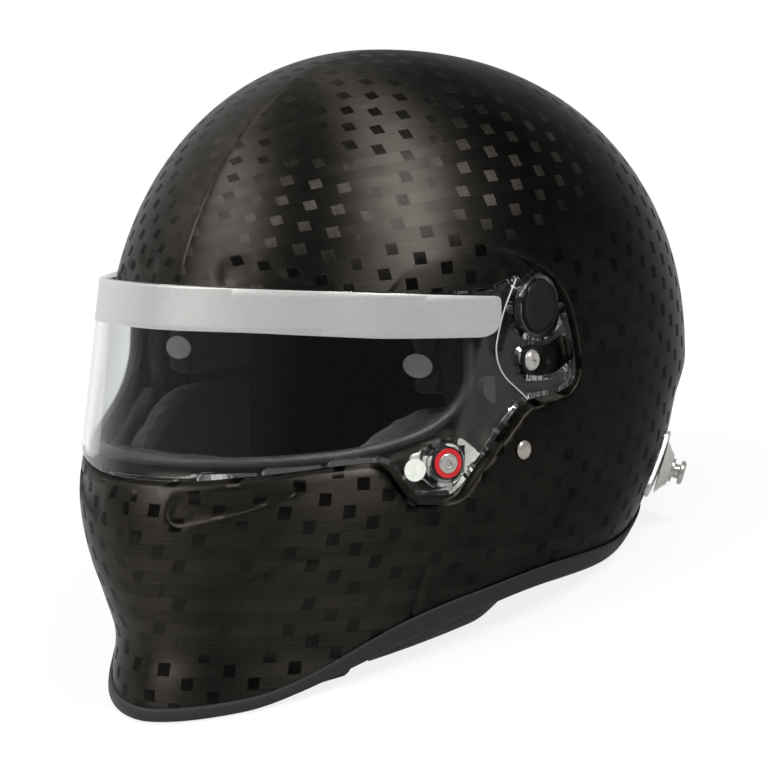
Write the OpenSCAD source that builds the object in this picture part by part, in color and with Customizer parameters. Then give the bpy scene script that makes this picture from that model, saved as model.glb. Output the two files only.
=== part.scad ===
// Full-face car racing helmet: composite shell, clear visor on two pivots,
// liners and pads, chin strap with two D-rings and two head restraint posts.
// The helmet stands on its rim. The front is -Y, the wearer's left is +X.

/* [Shell] */
// Half the width of the shell at the ears
shell_half_w = 126; // [122:0.5:130]
// Height of the crown above the ear line
shell_top = 151.5; // [146:0.5:158]
// Reach of the forehead ahead of the ears
shell_front = 150; // [146:0.5:153]
// Reach of the back of the head behind the ears
shell_back = 182; // [176:1:190]
// Reach of the chin bar at its fullest
chin_reach = 177; // [174:0.5:180]
// How far the chin bar draws in above its lip
chin_waist = 14.5; // [8:0.5:18]
// How far the lip at the rim flares out again
chin_flare = 4.5; // [0:0.5:7]
// Thickness of the shell
shell_t = 3; // [2.4:0.1:3.6]
// Depth of the rim below the ear line at the chin
rim_depth = 145; // [141:0.5:150]
// Slope of the rim, up towards the back, in degrees
rim_pitch = 14.5; // [12:0.5:17]
// Lift of the rim at the cheeks
rim_arch = 14; // [8:0.5:16]

/* [Eye opening] */
// Rear edge of the opening ahead of the ears
port_rear = 68; // [65:0.5:71]
// Top edge of the opening above the ear line
port_top = 36; // [32:0.5:39]
// Bottom edge of the opening below the ear line
port_low = 30; // [27:0.5:32]
// Radius of the upper corner of the opening
port_corner = 12; // [6:1:14]
// Width of the rubber seal round the opening
seal_w = 4; // [2.5:0.5:4.5]

/* [Visor] */
// How far the visor lies inside the width of the shell at the ears
visor_inset = 0.5; // [0.2:0.1:1]
// How far the visor stands ahead of the forehead
visor_ahead = 13.7; // [13:0.1:15]
// Thickness of the visor
visor_t = 3; // [2:0.1:3.4]
// Free space behind the visor, down to the pocket floor
pocket_gap = 4.9; // [4.8:0.1:5.4]
// Height of the visor's top edge above the ear line
visor_top = 47; // [45:0.5:50]
// Depth of the visor's bottom edge below the ear line at the front
visor_low = 40; // [38:0.5:41.5]
// Opening angle that the slot allows the visor
visor_open = 45; // [30:1:46]
// Height of the sun strip
strip_h = 19.5; // [10:0.5:20]
// Thickness of the sun strip
strip_t = 0.4; // [0.2:0.1:0.8]

/* [Visor pivot] */
// Pivot ahead of the ears
pivot_ahead = 33; // [32:0.5:34]
// Pivot above the ear line
pivot_up = 36; // [35:0.5:37]
// Diameter of the pivot hub
hub_d = 25; // [20:0.5:26]
// Wall of the collar that turns on the hub
collar_wall = 1.6; // [1.2:0.1:1.8]
// Distance from the pivot to the stop screw
stop_r = 25; // [24.5:0.5:25.5]
// Width of the curved slot for the stop screw
slot_w = 13.6; // [12:0.2:14]
// Diameter of the stop screw's head
stop_head_d = 9.6; // [8:0.2:10]
// Running clearance of the pivot and the stop
run_gap = 0.35; // [0.2:0.05:0.4]

/* [Visor lock] */
// Diameter of the lock button
button_d = 14.4; // [12:0.2:15]
// Travel of the lock button
button_travel = 1.6; // [1:0.1:1.8]
// Wall of the guide ring of the button
guide_wall = 1.6; // [1.2:0.1:2]
// Thickness of the lock plate
plate_t = 0.8; // [0.5:0.1:0.9]

/* [Liner and pads] */
// Depth of shell and foam together at the ears
foam_side = 34; // [32:0.5:36]
// Depth of shell and foam together at the forehead
foam_front = 27; // [25:1:30]
// Depth of shell and foam together at the back
foam_back = 52; // [48:1:56]
// Depth of shell and foam together at the crown
foam_crown = 32.5; // [29:0.5:36]
// Depth of shell and foam together at the chin bar
foam_chin = 30; // [28:1:34]
// Thickness of the crown and brow pads
pad_t = 10; // [8:0.5:12]
// Thickness of the temple pads
temple_t = 20; // [16:0.5:21]
// Thickness of the cheek pads
cheek_t = 19; // [15:0.5:21]
// Thickness of the neck roll
neck_t = 16; // [12:0.5:18]
// Clearance between the shell and the foam liners
liner_gap = 0.9; // [0.6:0.1:1.2]
// Clearance round the pads
fit_gap = 0.3; // [0.2:0.05:0.4]

/* [Chin strap] */
// Width of the strap
strap_w = 25; // [20:1:26]
// Thickness of the strap
strap_t = 2.4; // [1.8:0.1:2.8]
// Diameter of the wire of the D-rings
ring_wire = 3.4; // [3:0.1:3.6]
// Distance between the two D-rings
ring_pitch = 5.6; // [5:0.1:6.5]
// Diameter of the strap rivets
rivet_d = 8.8; // [7:0.2:10]

/* [Head restraint] */
// Height of the posts above the rim's level at the chin
post_rise = 94; // [91:0.5:97]
// Diameter of the post's head
post_d = 12; // [10:0.5:12.7]
// Diameter of the post's neck
post_neck_d = 7.2; // [6:0.2:8]
// Height of the post above its bracket
post_h = 7; // [6.5:0.5:9]
// Thickness of the bracket
anchor_t = 2.2; // [1.5:0.1:3]

/* [Trim] */
// Thickness of the rubber edge
trim_t = 2; // [1.5:0.1:2.5]
// Height of the rubber edge up the shell
trim_h = 8; // [6:0.5:10]

/* [Hidden] */

// Colours of the finishes
carbon = "#1b1b1a";
rubber = "#0c0c0c";
fabric = "#26262a";
foam = "#2f2f31";
clear = [0.8, 0.85, 0.88, 0.35];
steel = "#b9b7b0";

// The visor and the space inside the foam follow the shell
visor_half_w = shell_half_w - visor_inset;
visor_reach = shell_front + visor_ahead;
liner_half_w = shell_half_w - foam_side;
liner_front = shell_front - foam_front;
liner_back = shell_back - foam_back;
liner_top = shell_top - foam_crown;
mouth_reach = chin_reach - foam_chin;

// Rounding exponents of the shell, in plan and in side view
front_round = 1.77;
back_round = 2.06;
side_dome = 2.24;
front_dome = 1.98;
back_dome = 2.08;
visor_round = 1.8;
// Lean of the visor, forward towards its bottom, and its taper
visor_lean = 0.208;
visor_taper = 0.022;

// Number of facets round the shell and its liners
shell_cols = 60;
shell_rows = 11;
liner_cols = 32;
liner_rows = 6;
visor_cols = 64;
bore_fn = 32;

// Rows of [height, value] for the shell below the ear line
side_curve = [[0, shell_half_w], [-35, shell_half_w], [-70, shell_half_w - 8.5],
    [-100, shell_half_w - 21.5], [-135, shell_half_w - 30]];
front_curve = [[0, shell_front], [-15, shell_front + 0.37 * (chin_reach - shell_front)],
    [-35, chin_reach - 6.5], [-55, chin_reach], [-80, chin_reach - 2],
    [-100, chin_reach - 0.59 * chin_waist], [-118, chin_reach - chin_waist],
    [-134, chin_reach - chin_waist + chin_flare], [-150, chin_reach - chin_waist + chin_flare + 1]];
back_curve = [[0, shell_back], [-20, shell_back - 14], [-45, shell_back - 26],
    [-70, shell_back - 42], [-95, shell_back - 60], [-120, shell_back - 76]];
// The same rows for the space inside the liner
liner_side_curve = [[0, liner_half_w], [-60, liner_half_w - 2], [-120, liner_half_w - 9]];
mouth_curve = [[0, liner_front], [-35, mouth_reach - 4], [-70, mouth_reach], [-120, mouth_reach - 5]];
nape_curve = [[0, liner_back], [-45, liner_back - 12], [-90, liner_back - 34]];

// A form: half width, front, back, top, then its exponents and its rows
shell_form = [shell_half_w, shell_front, shell_back, shell_top, front_round, back_round,
    side_dome, front_dome, back_dome, side_curve, front_curve, back_curve];
liner_form = [liner_half_w, liner_front, liner_back, liner_top, 2.6, 2.1,
    2.1, 2.1, 2.1, liner_side_curve, mouth_curve, nape_curve];

trim_gap = 0.35;

// Rim plane, and the height that sets the helmet on it
rim_ref = 150;
stand_h = rim_depth * cos(rim_pitch) - rim_ref * sin(rim_pitch);
// Shift along the helmet that puts its middle over the origin
stand_y = 10.44;
trim_under = trim_t + 0.2;
// Angles round the rim where its arch starts, is full and ends again
arch_angles = [28, 68, 76, 122];

// Depths below the visor's outer face
pocket_in = visor_t + pocket_gap;

// Cubic curve through rows of [height, value], level at its first row
function slope(c, i) = i == 0 ? 0
    : i == len(c) - 1 ? (c[i][1] - c[i - 1][1]) / (c[i][0] - c[i - 1][0])
    : (c[i + 1][1] - c[i - 1][1]) / (c[i + 1][0] - c[i - 1][0]);
function part_of(c, z, i = 0) = i >= len(c) - 2 || z > c[i + 1][0] ? i : part_of(c, z, i + 1);
function curve(c, z) =
    let (low = c[len(c) - 1][0], zc = max(min(z, c[0][0]), low), i = part_of(c, zc),
        h = c[i + 1][0] - c[i][0], t = (zc - c[i][0]) / h, u = 1 - t)
    c[i][1] * (1 + 2 * t) * u * u + slope(c, i) * h * t * u * u
    + c[i + 1][1] * t * t * (3 - 2 * t) - slope(c, i + 1) * h * t * t * u;

function dome(t, m) = pow(max(1 - pow(min(t, 1), m), 0), 1 / m);
function reach(s, k, z, off) =
    z > 0 ? (s[k] + off) * dome(z / (s[3] + off), s[6 + k]) : curve(s[9 + k], z) + off;
function oval(a, w, f, b, nf, nb) =
    let (n = cos(a) > 0 ? nf : nb, l = cos(a) > 0 ? f : b)
    [w * sign(sin(a)) * pow(abs(sin(a)), 2 / n), -l * sign(cos(a)) * pow(abs(cos(a)), 2 / n)];
function form_point(s, a, z, off) =
    let (p = oval(a, reach(s, 0, z, off), reach(s, 1, z, off), reach(s, 2, z, off), s[4], s[5]))
    [p[0], p[1], z];

// Half the width of a form at a point ahead of the ears
function wall_x(s, y, z, off = 0) = reach(s, 0, z, off)
    * pow(max(1 - pow(-y / reach(s, 1, z, off), s[4]), 0), 1 / s[4]);

// Height of the shell's rim at angle a, found by stepping to the sloped plane
function base_z(y) = -rim_depth + (y + rim_ref) * tan(rim_pitch);
function ease(t) = let (u = max(0, min(1, t))) u * u * (3 - 2 * u);
function arch(a) = let (b = a > 180 ? 360 - a : a, c = arch_angles)
    rim_arch * ease((b - c[0]) / (c[1] - c[0])) * ease((c[3] - b) / (c[3] - c[2]));
function rim_z(s, a, off, z = -120, left = 6) = left == 0 ? z
    : rim_z(s, a, off, base_z(form_point(s, a, z, off)[1]) + arch(a) + trim_under, left - 1);

// Surface of the visor, an oval cone
function visor_point(a, z, off) =
    let (p = oval(a, visor_half_w - visor_taper * z + off, visor_reach - visor_lean * z + off,
        100, visor_round, 2))
    [p[0], p[1], z];
function visor_x(y, z) = (visor_half_w - visor_taper * z)
    * pow(1 - pow(-y / (visor_reach - visor_lean * z), visor_round), 1 / visor_round);

// Side outlines as [along, up] points
port_outline = [[-230, port_top], [-port_rear, port_top], [-port_rear, 3],
    [-port_rear - 6, -7.5], [-port_rear - 21, -18], [-port_rear - 46, -port_low + 4.5],
    [-port_rear - 82, -port_low + 0.3], [-230, -port_low]];
visor_outline = [[-230, visor_top + 0.5], [-150, visor_top], [-118, visor_top - 1.5],
    [-90, visor_top - 3.2], [-63, visor_top - 2.7], [-45, visor_top + 3.3], [-36, visor_top + 4.8],
    [-28, visor_top + 2.3], [-21, visor_top - 4.5], [-15.2, 28.5], [-11, 12], [-10.8, 3],
    [-13, -0.5], [-20, -3.6], [-38, -5.8], [-44.5, -8], [-55, -19.3], [-65.6, -32], [-76.7, -43.6],
    [-81, -47], [-95.6, -46.4], [-100, -41], [-103.5, -33.5], [-109, -visor_low + 9.6],
    [-126, -visor_low + 8.2], [-145, -visor_low + 5], [-157, -visor_low + 3.1],
    [-167, -visor_low + 0.7], [-230, -visor_low]];
pocket_outline = [[-230, 30], [-116, 30], [-96, 44], [-84, 62], [-69.5, 72], [-54.3, 67],
    [-41.3, 61.8], [-32, 57], [-21.5, 50.5], [-13.8, 42], [-9.5, 28], [-6.6, 12], [-6.8, 3],
    [-11.4, -4.5], [-21.3, -8],
    [-33.3, -9.8], [-40.3, -12.2], [-48, -20], [-56, -28.5], [-66, -40.5], [-72, -50], [-79, -52.5],
    [-97, -51.5], [-103.5, -44], [-107, -36.8], [-111, -visor_low + 6.5], [-126, -visor_low + 5.2],
    [-145, -visor_low + 2.2], [-157, -visor_low + 0.2], [-167, -visor_low - 1.8],
    [-230, -visor_low - 2.5]];
strip_outline = [[-230, visor_top], [-150, visor_top - 0.5], [-118, visor_top - 2],
    [-90, visor_top - 3.7], [-53, visor_top - 5.8], [-53, visor_top - 0.94 * strip_h - 5.8],
    [-105, visor_top - strip_h - 3.6], [-145, visor_top - strip_h - 0.6],
    [-230, visor_top - strip_h]];
foam_outline = [[-230, port_top + 2], [-port_rear + 3, port_top + 2], [-port_rear + 4, -6],
    [-50, -40], [-16, -45.5], [-16, -170], [230, -170], [230, 200], [-230, 200]];
chin_outline = [[-230, -port_low - 2], [-112, -port_low + 1], [-88, -22], [-port_rear - 3, -12],
    [-port_rear + 2, -9], [-52, -41], [-18, -46.5], [-18, -170], [-230, -170]];
plate_outline = [[-61.5, -31], [-73, -21.5], [-79, -24], [-86, -27], [-97.5, -28.5],
    [-95.5, -36], [-89, -42], [-79, -46], [-73.5, -44.5]];

// Sets a piece that is drawn level with the visor on the rim plane
module stand() {
    translate([0, stand_y, stand_h]) rotate([-rim_pitch, 0, 0]) children();
}
// Closed skin over rings of points; ends are fans, or the last ring meets the first
module loft(rings, looped = false) {
    n = len(rings[0]);
    m = len(rings);
    mid = function (r) [for (k = [0:2]) [for (p = r) p[k]] * [for (p = r) 1] / n];
    points = concat([for (r = rings, p = r) p], looped ? [] : [mid(rings[0]), mid(rings[m - 1])]);
    walls = [for (i = [0:(looped ? m : m - 1) - 1], j = [0:n - 1])
        let (a = i * n, b = ((i + 1) % m) * n, k = (j + 1) % n)
        each [[a + j, b + k, a + k], [a + j, b + j, b + k]]];
    ends = looped ? [] : [for (j = [0:n - 1]) let (k = (j + 1) % n, e = (m - 1) * n)
        each [[m * n, j, k], [m * n + 1, e + k, e + j]]];
    polyhedron(points, concat(walls, ends), convexity = 8);
}
// Solid of a form, from its rim or a lift above or below it, to its top
module form_solid(s, off, cols, up, down, lift = 0) {
    angles = [for (i = [0:cols - 1]) i * 360 / cols];
    low = [for (i = [0:down - 1]) [for (a = angles)
        form_point(s, a, (rim_z(s, a, off) + lift) * (1 - i / down), off)]];
    high = [for (i = [0:up - 1]) let (z = (s[3] + off) * sin(i * 90 / up))
        [for (a = angles) form_point(s, a, z, off)]];
    tip = [for (a = angles) form_point(s, a, (s[3] + off) * sin(90 - 22 / up), off)];
    loft(concat(low, high, [tip]));
}
module visor_solid(off, cols = visor_cols, low = -80, high = 100) {
    loft([for (z = [low, high]) [for (i = [0:cols - 1]) visor_point(i * 360 / cols, z, off)]]);
}
// Prism of a side outline, right across the helmet or on one side of it
module side_cut(outline, grow = 0, fillet = 2, side = 0) {
    translate([side * 110, 0, 0]) rotate([90, 0, 90])
        linear_extrude(side == 0 ? 400 : 219, center = true)
            offset(r = grow + fillet, $fn = fillet > 4 ? 20 : 10) offset(delta = -fillet) polygon(outline);
}
// Shell form with the pocket for the visor let into it
module skin(off, cols = shell_cols, up = 12, down = shell_rows, lift = 0) {
    difference() {
        form_solid(shell_form, off, cols, up, down, lift);
        difference() {
            side_cut(pocket_outline, -off);
            visor_solid(off - pocket_in);
        }
    }
}
// One true mesh of a boolean of free-form solids
module one_mesh() {
    resize([0, 0, 0]) render() children();
}
// Places a piece on one side: 1 is the wearer's left, -1 the right
module on_side(side) {
    if (side > 0) children();
    else mirror([1, 0, 0]) children();
}
// Local frame at a side point of the visor, with +Z outward and square to it
function visor_yaw(y, z) =
    let (w = visor_half_w - visor_taper * z, f = visor_reach - visor_lean * z,
        gx = pow(visor_x(y, z) / w, visor_round - 1) / w, gy = pow(-y / f, visor_round - 1) / f)
    atan2(-gy, gx);
module at_visor(y, z) {
    translate([visor_x(y, z), y, z]) rotate([0, 0, visor_yaw(y, z)]) rotate([0, 90, 0]) children();
}
// Frame on the axis of the visor's hinge, with +Z towards the side
module at_pivot(x) {
    translate([x, -pivot_ahead, pivot_up]) rotate([0, 90, 0]) children();
}

hub_x = visor_x(-pivot_ahead, pivot_up);
hub_hole_d = hub_d + 2 * run_gap;
collar_d = hub_hole_d + 2 * collar_wall;
// Clearance round the rings that are set into the visor
hole_slack = 0.15;
stop_closed = -103;
slot_steps = 5;
function stop_point(angle) = [-pivot_ahead + stop_r * cos(angle), pivot_up + stop_r * sin(angle)];
stop_at = stop_point(stop_closed);
stop_x = visor_x(stop_at[0], stop_at[1]);
button_at = [-82.5, -32.2];
sticker_at = [-96, -34.7];
floor_slack = 0.1;

module slot_cut() {
    rotate([90, 0, 90]) linear_extrude(400, center = true)
        for (i = [0:slot_steps - 1]) hull() {
            for (k = [i, i + 1])
                translate(stop_point(stop_closed + k * visor_open / slot_steps))
                    circle(d = slot_w, $fn = 24);
        }
}

rivet_at = [-43, -29];
rivet_x = wall_x(shell_form, rivet_at[0], rivet_at[1]);
rivet_shank_d = 4;
rivet_yaw = -9;
module at_rivet() {
    translate([rivet_x, rivet_at[0], rivet_at[1]]) rotate([0, 0, rivet_yaw]) rotate([0, 90, 0])
        children();
}

// Post and bracket of the head restraint sit at this angle round the back
post_angle = 127;
post_z = post_rise - rim_depth;
post_at = form_point(shell_form, post_angle, post_z, 0);
post_yaw = 34;
post_dip = 16;
module at_post() {
    translate(post_at) rotate([0, 0, post_yaw]) rotate([0, 90 + post_dip, 0]) children();
}
screw_d = 5;

// Shallow recess in the chin on each side, as [across, up] points
recess_outline = [[21, -44.5], [18, -55], [23, -60], [49, -53], [66, -45.5], [67, -42]];
recess_depth = 1.4;
module chin_recess() {
    difference() {
        translate([0, -100, 0]) rotate([90, 0, 0]) linear_extrude(120)
            offset(r = 2, $fn = 16) offset(delta = -2) polygon(recess_outline);
        form_solid(shell_form, -recess_depth, shell_cols, 12, shell_rows);
    }
}
module outer_shell() color(carbon) stand() one_mesh() difference() {
    skin(0);
    skin(-shell_t, liner_cols + 8, 8, 8, -14);
    side_cut(port_outline, 0, port_corner);
    for (side = [1, -1]) on_side(side) {
        chin_recess();
        at_rivet() cylinder(d = rivet_shank_d + 0.3, h = 20, center = true, $fn = 16);
        at_post() cylinder(d = screw_d + 0.3, h = 24, center = true, $fn = 16);
        translate([stop_x, stop_at[0], stop_at[1]]) rotate([0, 90, 0])
            cylinder(d = screw_d + 0.3, h = 30, center = true, $fn = 16);
        at_pivot(hub_x) cylinder(d = screw_d + 0.3, h = 30, center = true, $fn = 16);
    }
}

module base_trim() color(rubber) stand() {
    under = 0.5;
    profile = [[trim_gap, trim_h], [trim_t, trim_h - 1.5], [trim_t, -0.3 * trim_t],
        [0.4 * trim_t, -trim_under], [-shell_t - trim_t, -trim_under], [-shell_t - trim_t, trim_h],
        [-shell_t - 3 * trim_gap, trim_h], [-shell_t - 3 * trim_gap, -under], [trim_gap, -under]];
    loft([for (i = [0:shell_cols - 1]) let (a = i * 360 / shell_cols, z = rim_z(shell_form, a, 0))
        [for (p = profile)
            let (q = form_point(shell_form, a, z, p[0]),
                r = form_point(shell_form, a, z * (1 - 1 / shell_rows), p[0]),
                up = p[1] + (q[1] - form_point(shell_form, a, z, 0)[1]) * tan(rim_pitch))
            q + (r - q) * up / (r[2] - q[2])]], looped = true);
}

module eyeport_seal() color(rubber) stand() one_mesh() difference() {
    intersection() {
        visor_solid(-visor_t - fit_gap);
        difference() {
            side_cut(port_outline, seal_w, port_corner);
            side_cut(port_outline, -1, port_corner);
        }
        translate([-200, -230, -100]) cube([400, 230, 200]);
    }
    skin(0.1);
}

module visor_sheet(outer, inner, outline, fillet) {
    intersection() {
        difference() {
            visor_solid(outer);
            visor_solid(inner);
        }
        side_cut(outline, 0, fillet);
    }
}
module visor() color(clear) stand() one_mesh() difference() {
    visor_sheet(0, -visor_t, visor_outline, 2);
    at_pivot(0) cylinder(d = collar_d + 2 * hole_slack, h = 400, center = true, $fn = bore_fn);
    slot_cut();
    at_visor(button_at[0], button_at[1])
        cylinder(d = guide_d + 2 * guide_wall + 2 * hole_slack, h = 30, center = true, $fn = bore_fn);
}
module sun_strip() color(steel) stand() one_mesh()
    visor_sheet(strip_t, 0, strip_outline, 4);

module ring(d_out, d_in, h) {
    difference() {
        cylinder(d = d_out, h = h, $fn = bore_fn);
        translate([0, 0, -1]) cylinder(d = d_in, h = h + 2, $fn = bore_fn);
    }
}

// Hub: a disc that the collar turns on, with a foot on the pocket floor
hub_proud = 2.4;
hub_foot = 2.6;
module pivot_hub(side) color(rubber) stand() on_side(side) at_pivot(hub_x) {
    translate([0, 0, -pocket_in + floor_slack + hub_foot])
        cylinder(d = hub_d, h = pocket_in - floor_slack - hub_foot + hub_proud - 0.8, $fn = bore_fn);
    translate([0, 0, hub_proud - 0.8]) cylinder(d1 = hub_d, d2 = hub_d - 3, h = 0.8, $fn = bore_fn);
    translate([0, 0, -pocket_in - shell_t - 2])
        cylinder(d = screw_d, h = shell_t + hub_foot + 3, $fn = bore_fn);
}
module pivot_collar(side) color(clear) stand() on_side(side) at_pivot(hub_x)
    translate([0, 0, -visor_t - 0.4]) ring(collar_d, hub_hole_d, visor_t + 0.9);

washer_t = 1.2;
washer_sink = 0.6;
module at_stop() {
    translate([stop_x, stop_at[0], stop_at[1]]) rotate([0, 90, 0]) children();
}
module stop_washer(side) color(rubber) stand() on_side(side) at_stop()
    translate([0, 0, -washer_sink]) ring(slot_w - 2 * run_gap, screw_d + 0.2, washer_t);
module stop_screw(side) color(steel) stand() on_side(side) at_stop() difference() {
    union() {
        translate([0, 0, washer_t - washer_sink])
            cylinder(d1 = stop_head_d, d2 = stop_head_d * 0.7, h = 2.4, $fn = bore_fn);
        translate([0, 0, -pocket_in - shell_t - 2])
            cylinder(d = screw_d, h = pocket_in + shell_t + 2 + washer_t - washer_sink, $fn = bore_fn);
    }
    translate([0, 0, washer_t - washer_sink + 0.8]) cylinder(d = 3.4, h = 5, $fn = 6);
}

module rubber_stop(side) color(rubber) stand() one_mesh() intersection() {
    visor_solid(-visor_t - fit_gap - 0.6);
    difference() {
        on_side(side) intersection() {
            translate([0, -pivot_ahead - 21.5, pivot_up - 37]) rotate([0, 90, 0])
                cylinder(r = 6, h = 200, $fn = 32);
            translate([0, -pivot_ahead - 37, pivot_up - 56]) cube([200, 15.5, 40]);
        }
        visor_solid(-pocket_in + floor_slack);
    }
}

module lock_plate() color(steel) stand() one_mesh() intersection() {
    side_cut(plate_outline, 0, 1.5, 1);
    difference() {
        visor_solid(-pocket_in + floor_slack + plate_t);
        visor_solid(-pocket_in + floor_slack);
    }
}
module at_button(out) {
    at_visor(button_at[0], button_at[1]) translate([0, 0, out]) children();
}
button_proud = 3;
button_flange = 0.5;
button_foot = -visor_t - 0.3;
face_t = 0.6;
cap_d = 9;
guide_d = button_d + 2 * run_gap;
module lock_guide() color(clear) stand()
    at_button(-visor_t) ring(guide_d + 2 * guide_wall, guide_d, visor_t + 1.2);
module lock_button() color(rubber) stand() {
    at_button(button_foot) cylinder(d = button_d, h = button_proud - face_t - button_foot, $fn = bore_fn);
    at_button(button_foot - button_flange) cylinder(d = button_d + 1.6, h = button_flange, $fn = bore_fn);
}
module lock_face() color("#b3161c") stand()
    at_button(button_proud - face_t) ring(button_d - 1, cap_d + 0.2, face_t);
module lock_screw() color(steel) stand() difference() {
    at_button(button_proud - face_t) cylinder(d = cap_d, h = face_t + 0.5, $fn = bore_fn);
    at_button(button_proud - face_t + 0.5) cylinder(d = 3.2, h = 3, $fn = 6);
}
module lock_catch() color(rubber) stand() one_mesh() intersection() {
    side_cut([[-94, -50.5], [-84, -51], [-84, -48.6], [-94, -48]], 0, 0.3, 1);
    difference() {
        visor_solid(-1);
        visor_solid(-pocket_in + floor_slack);
    }
}
sticker_d = 10.2;
sticker_t = 0.25;
sticker_lift = 0.35;
module lock_sticker() color("#dfe0d8") stand() at_visor(sticker_at[0], sticker_at[1])
    translate([0, 0, sticker_lift]) cylinder(d = sticker_d, h = sticker_t, $fn = bore_fn);

// Recesses in the foam for the ends of the screws and rivets
nut_d = 10;
nut_depth = 4;
module nut_recess() {
    translate([0, 0, -shell_t - nut_depth]) cylinder(d = nut_d, h = nut_depth + 5, $fn = 8);
}
module nut_recesses() {
    for (side = [1, -1]) on_side(side) {
        at_pivot(hub_x - pocket_in) nut_recess();
        at_stop() translate([0, 0, -pocket_in]) nut_recess();
        at_rivet() translate([0, 0, -strap_t]) nut_recess();
        at_post() nut_recess();
    }
}
module foam_liner() color(foam) stand() one_mesh() difference() {
    intersection() {
        skin(-shell_t - liner_gap, liner_cols, 7, 6, trim_h + 1.5);
        side_cut(foam_outline);
    }
    form_solid(liner_form, 0, liner_cols, 8, liner_rows, -40);
    for (side = [1, -1]) strap(side, 1);
    nut_recesses();
}
module chin_foam() color(foam) stand() one_mesh() difference() {
    intersection() {
        skin(-shell_t - liner_gap - 0.5, liner_cols, 4, 7, trim_h + 1.5);
        side_cut(chin_outline);
    }
    form_solid(liner_form, 0, liner_cols, 8, liner_rows, -40);
    for (side = [1, -1]) strap(side, 1);
}

// Bowl-shaped pads between two offsets of the liner's space
module pad_layer(thick, outline, fillet) {
    intersection() {
        difference() {
            form_solid(liner_form, -fit_gap, liner_cols, 8, liner_rows, -40);
            form_solid(liner_form, -fit_gap - thick, liner_cols, 8, liner_rows, -45);
        }
        side_cut(outline, 0, fillet);
    }
}
module crown_pad() color(fabric) stand() one_mesh()
    pad_layer(pad_t, [[-78, 200], [-78, 72], [-60, 58], [90, 48], [112, 70], [112, 200]], 4);
module brow_pad() color(fabric) stand() one_mesh()
    pad_layer(pad_t, [[-200, 68], [-200, port_top + 4], [-70, port_top + 4], [-58, 50], [-72, 66],
        [-82, 70]], 3);

// A cushion on the liner's wall: rings at steps of y, each a rounded box that swells inward
cushion_swell = [0.8, 0.93, 1, 1, 1, 1, 1, 0.96, 0.85, 0.6];
function cushion_depth(u, k) = u > 0 ? 0.5 + 0.25 * k * (1 - u) - 0.5 * u : 0.5 + 0.25 * k * (1 - u);
module wall_cushion(front, rear, thick, top, low) intersection() {
    sides = 16;
    form_solid(liner_form, -fit_gap, liner_cols, 8, liner_rows, -40);
    loft([for (i = [0:len(cushion_swell) - 1])
        let (t = i / (len(cushion_swell) - 1), k = cushion_swell[i], y = -front + t * (front - rear),
            mid = (top(y) + low(y)) / 2, half = (top(y) - low(y)) / 2)
        [for (j = [0:sides - 1])
            let (a = -j * 360 / sides, u = sign(cos(a)) * pow(abs(cos(a)), 0.55),
                z = mid + half * (0.85 + 0.15 * k) * sign(sin(a)) * pow(abs(sin(a)), 0.55))
            [wall_x(liner_form, y, z, fit_gap) - thick * cushion_depth(u, k), y, z]]]);
}
cheek_front = 112;
cheek_rear = 2;
cheek_top = function (y) -8 - 26 * pow(max(-y - 60, 0) / 52, 1.4);
cheek_low = function (y) base_z(y) + 2.5;
module cheek_pad(side) color(fabric) stand() one_mesh() difference() {
    on_side(side) wall_cushion(cheek_front, cheek_rear, cheek_t, cheek_top, cheek_low);
    strap(side, 1);
}
temple_rear = 4;
temple_top = function (y) port_top - 2;
temple_low = function (y) -7;
module temple_pad(side) color(fabric) stand() one_mesh()
    on_side(side) wall_cushion(port_rear - 5, temple_rear, temple_t, temple_top, temple_low);
patch_at = [wall_x(liner_form, -port_rear + 5, 8) - temple_t / 2 - 0.8, -port_rear + 5 - fit_gap, 8];
module patch(side) color("#e8e6e1") stand() on_side(side)
    translate(patch_at) rotate([90, 0, 0]) linear_extrude(0.6)
        polygon([for (a = [0:15:345]) [8.5 * cos(a), 5.5 * sin(a)]]);

// A roll on the liner's wall round the nape
roll_top = -60;
roll_from = 96;
roll_steps = 18;
module neck_roll() color(fabric) stand() one_mesh() intersection() {
    form_solid(liner_form, -fit_gap, liner_cols, 8, liner_rows, -40);
    loft([for (i = [0:roll_steps])
        let (t = i / roll_steps, a = roll_from + t * (360 - 2 * roll_from),
            y = form_point(liner_form, a, roll_top, -neck_t / 2)[1], low = base_z(y) + 2.5,
            mid = (roll_top + low) / 2, half = (roll_top - low) / 2, k = min(1, 0.45 + 5 * min(t, 1 - t)))
        [for (b = [330:-30:0])
            let (u = sign(cos(b)) * pow(abs(cos(b)), 0.7),
                z = mid + half * k * sign(sin(b)) * pow(abs(sin(b)), 0.7),
                q = form_point(liner_form, a, z, neck_t / 2 * (u * k - 1)))
            [q[0], q[1], z]]]);
}

// Strap: a band along points chosen by hand, with the width along the head
strap_route = [[shell_half_w - 12.4, -41, -24.5], [shell_half_w - 12.8, -42, -36],
    [shell_half_w - 19, -43, -48], [shell_half_w - 30, -44, -62], [shell_half_w - 44, -46, -74],
    [66, -48, -82.3], [50, -49, -85], [38, -49, -85]];
tail_route = [[28, -49, -86], [18, -49, -89]];
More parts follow.
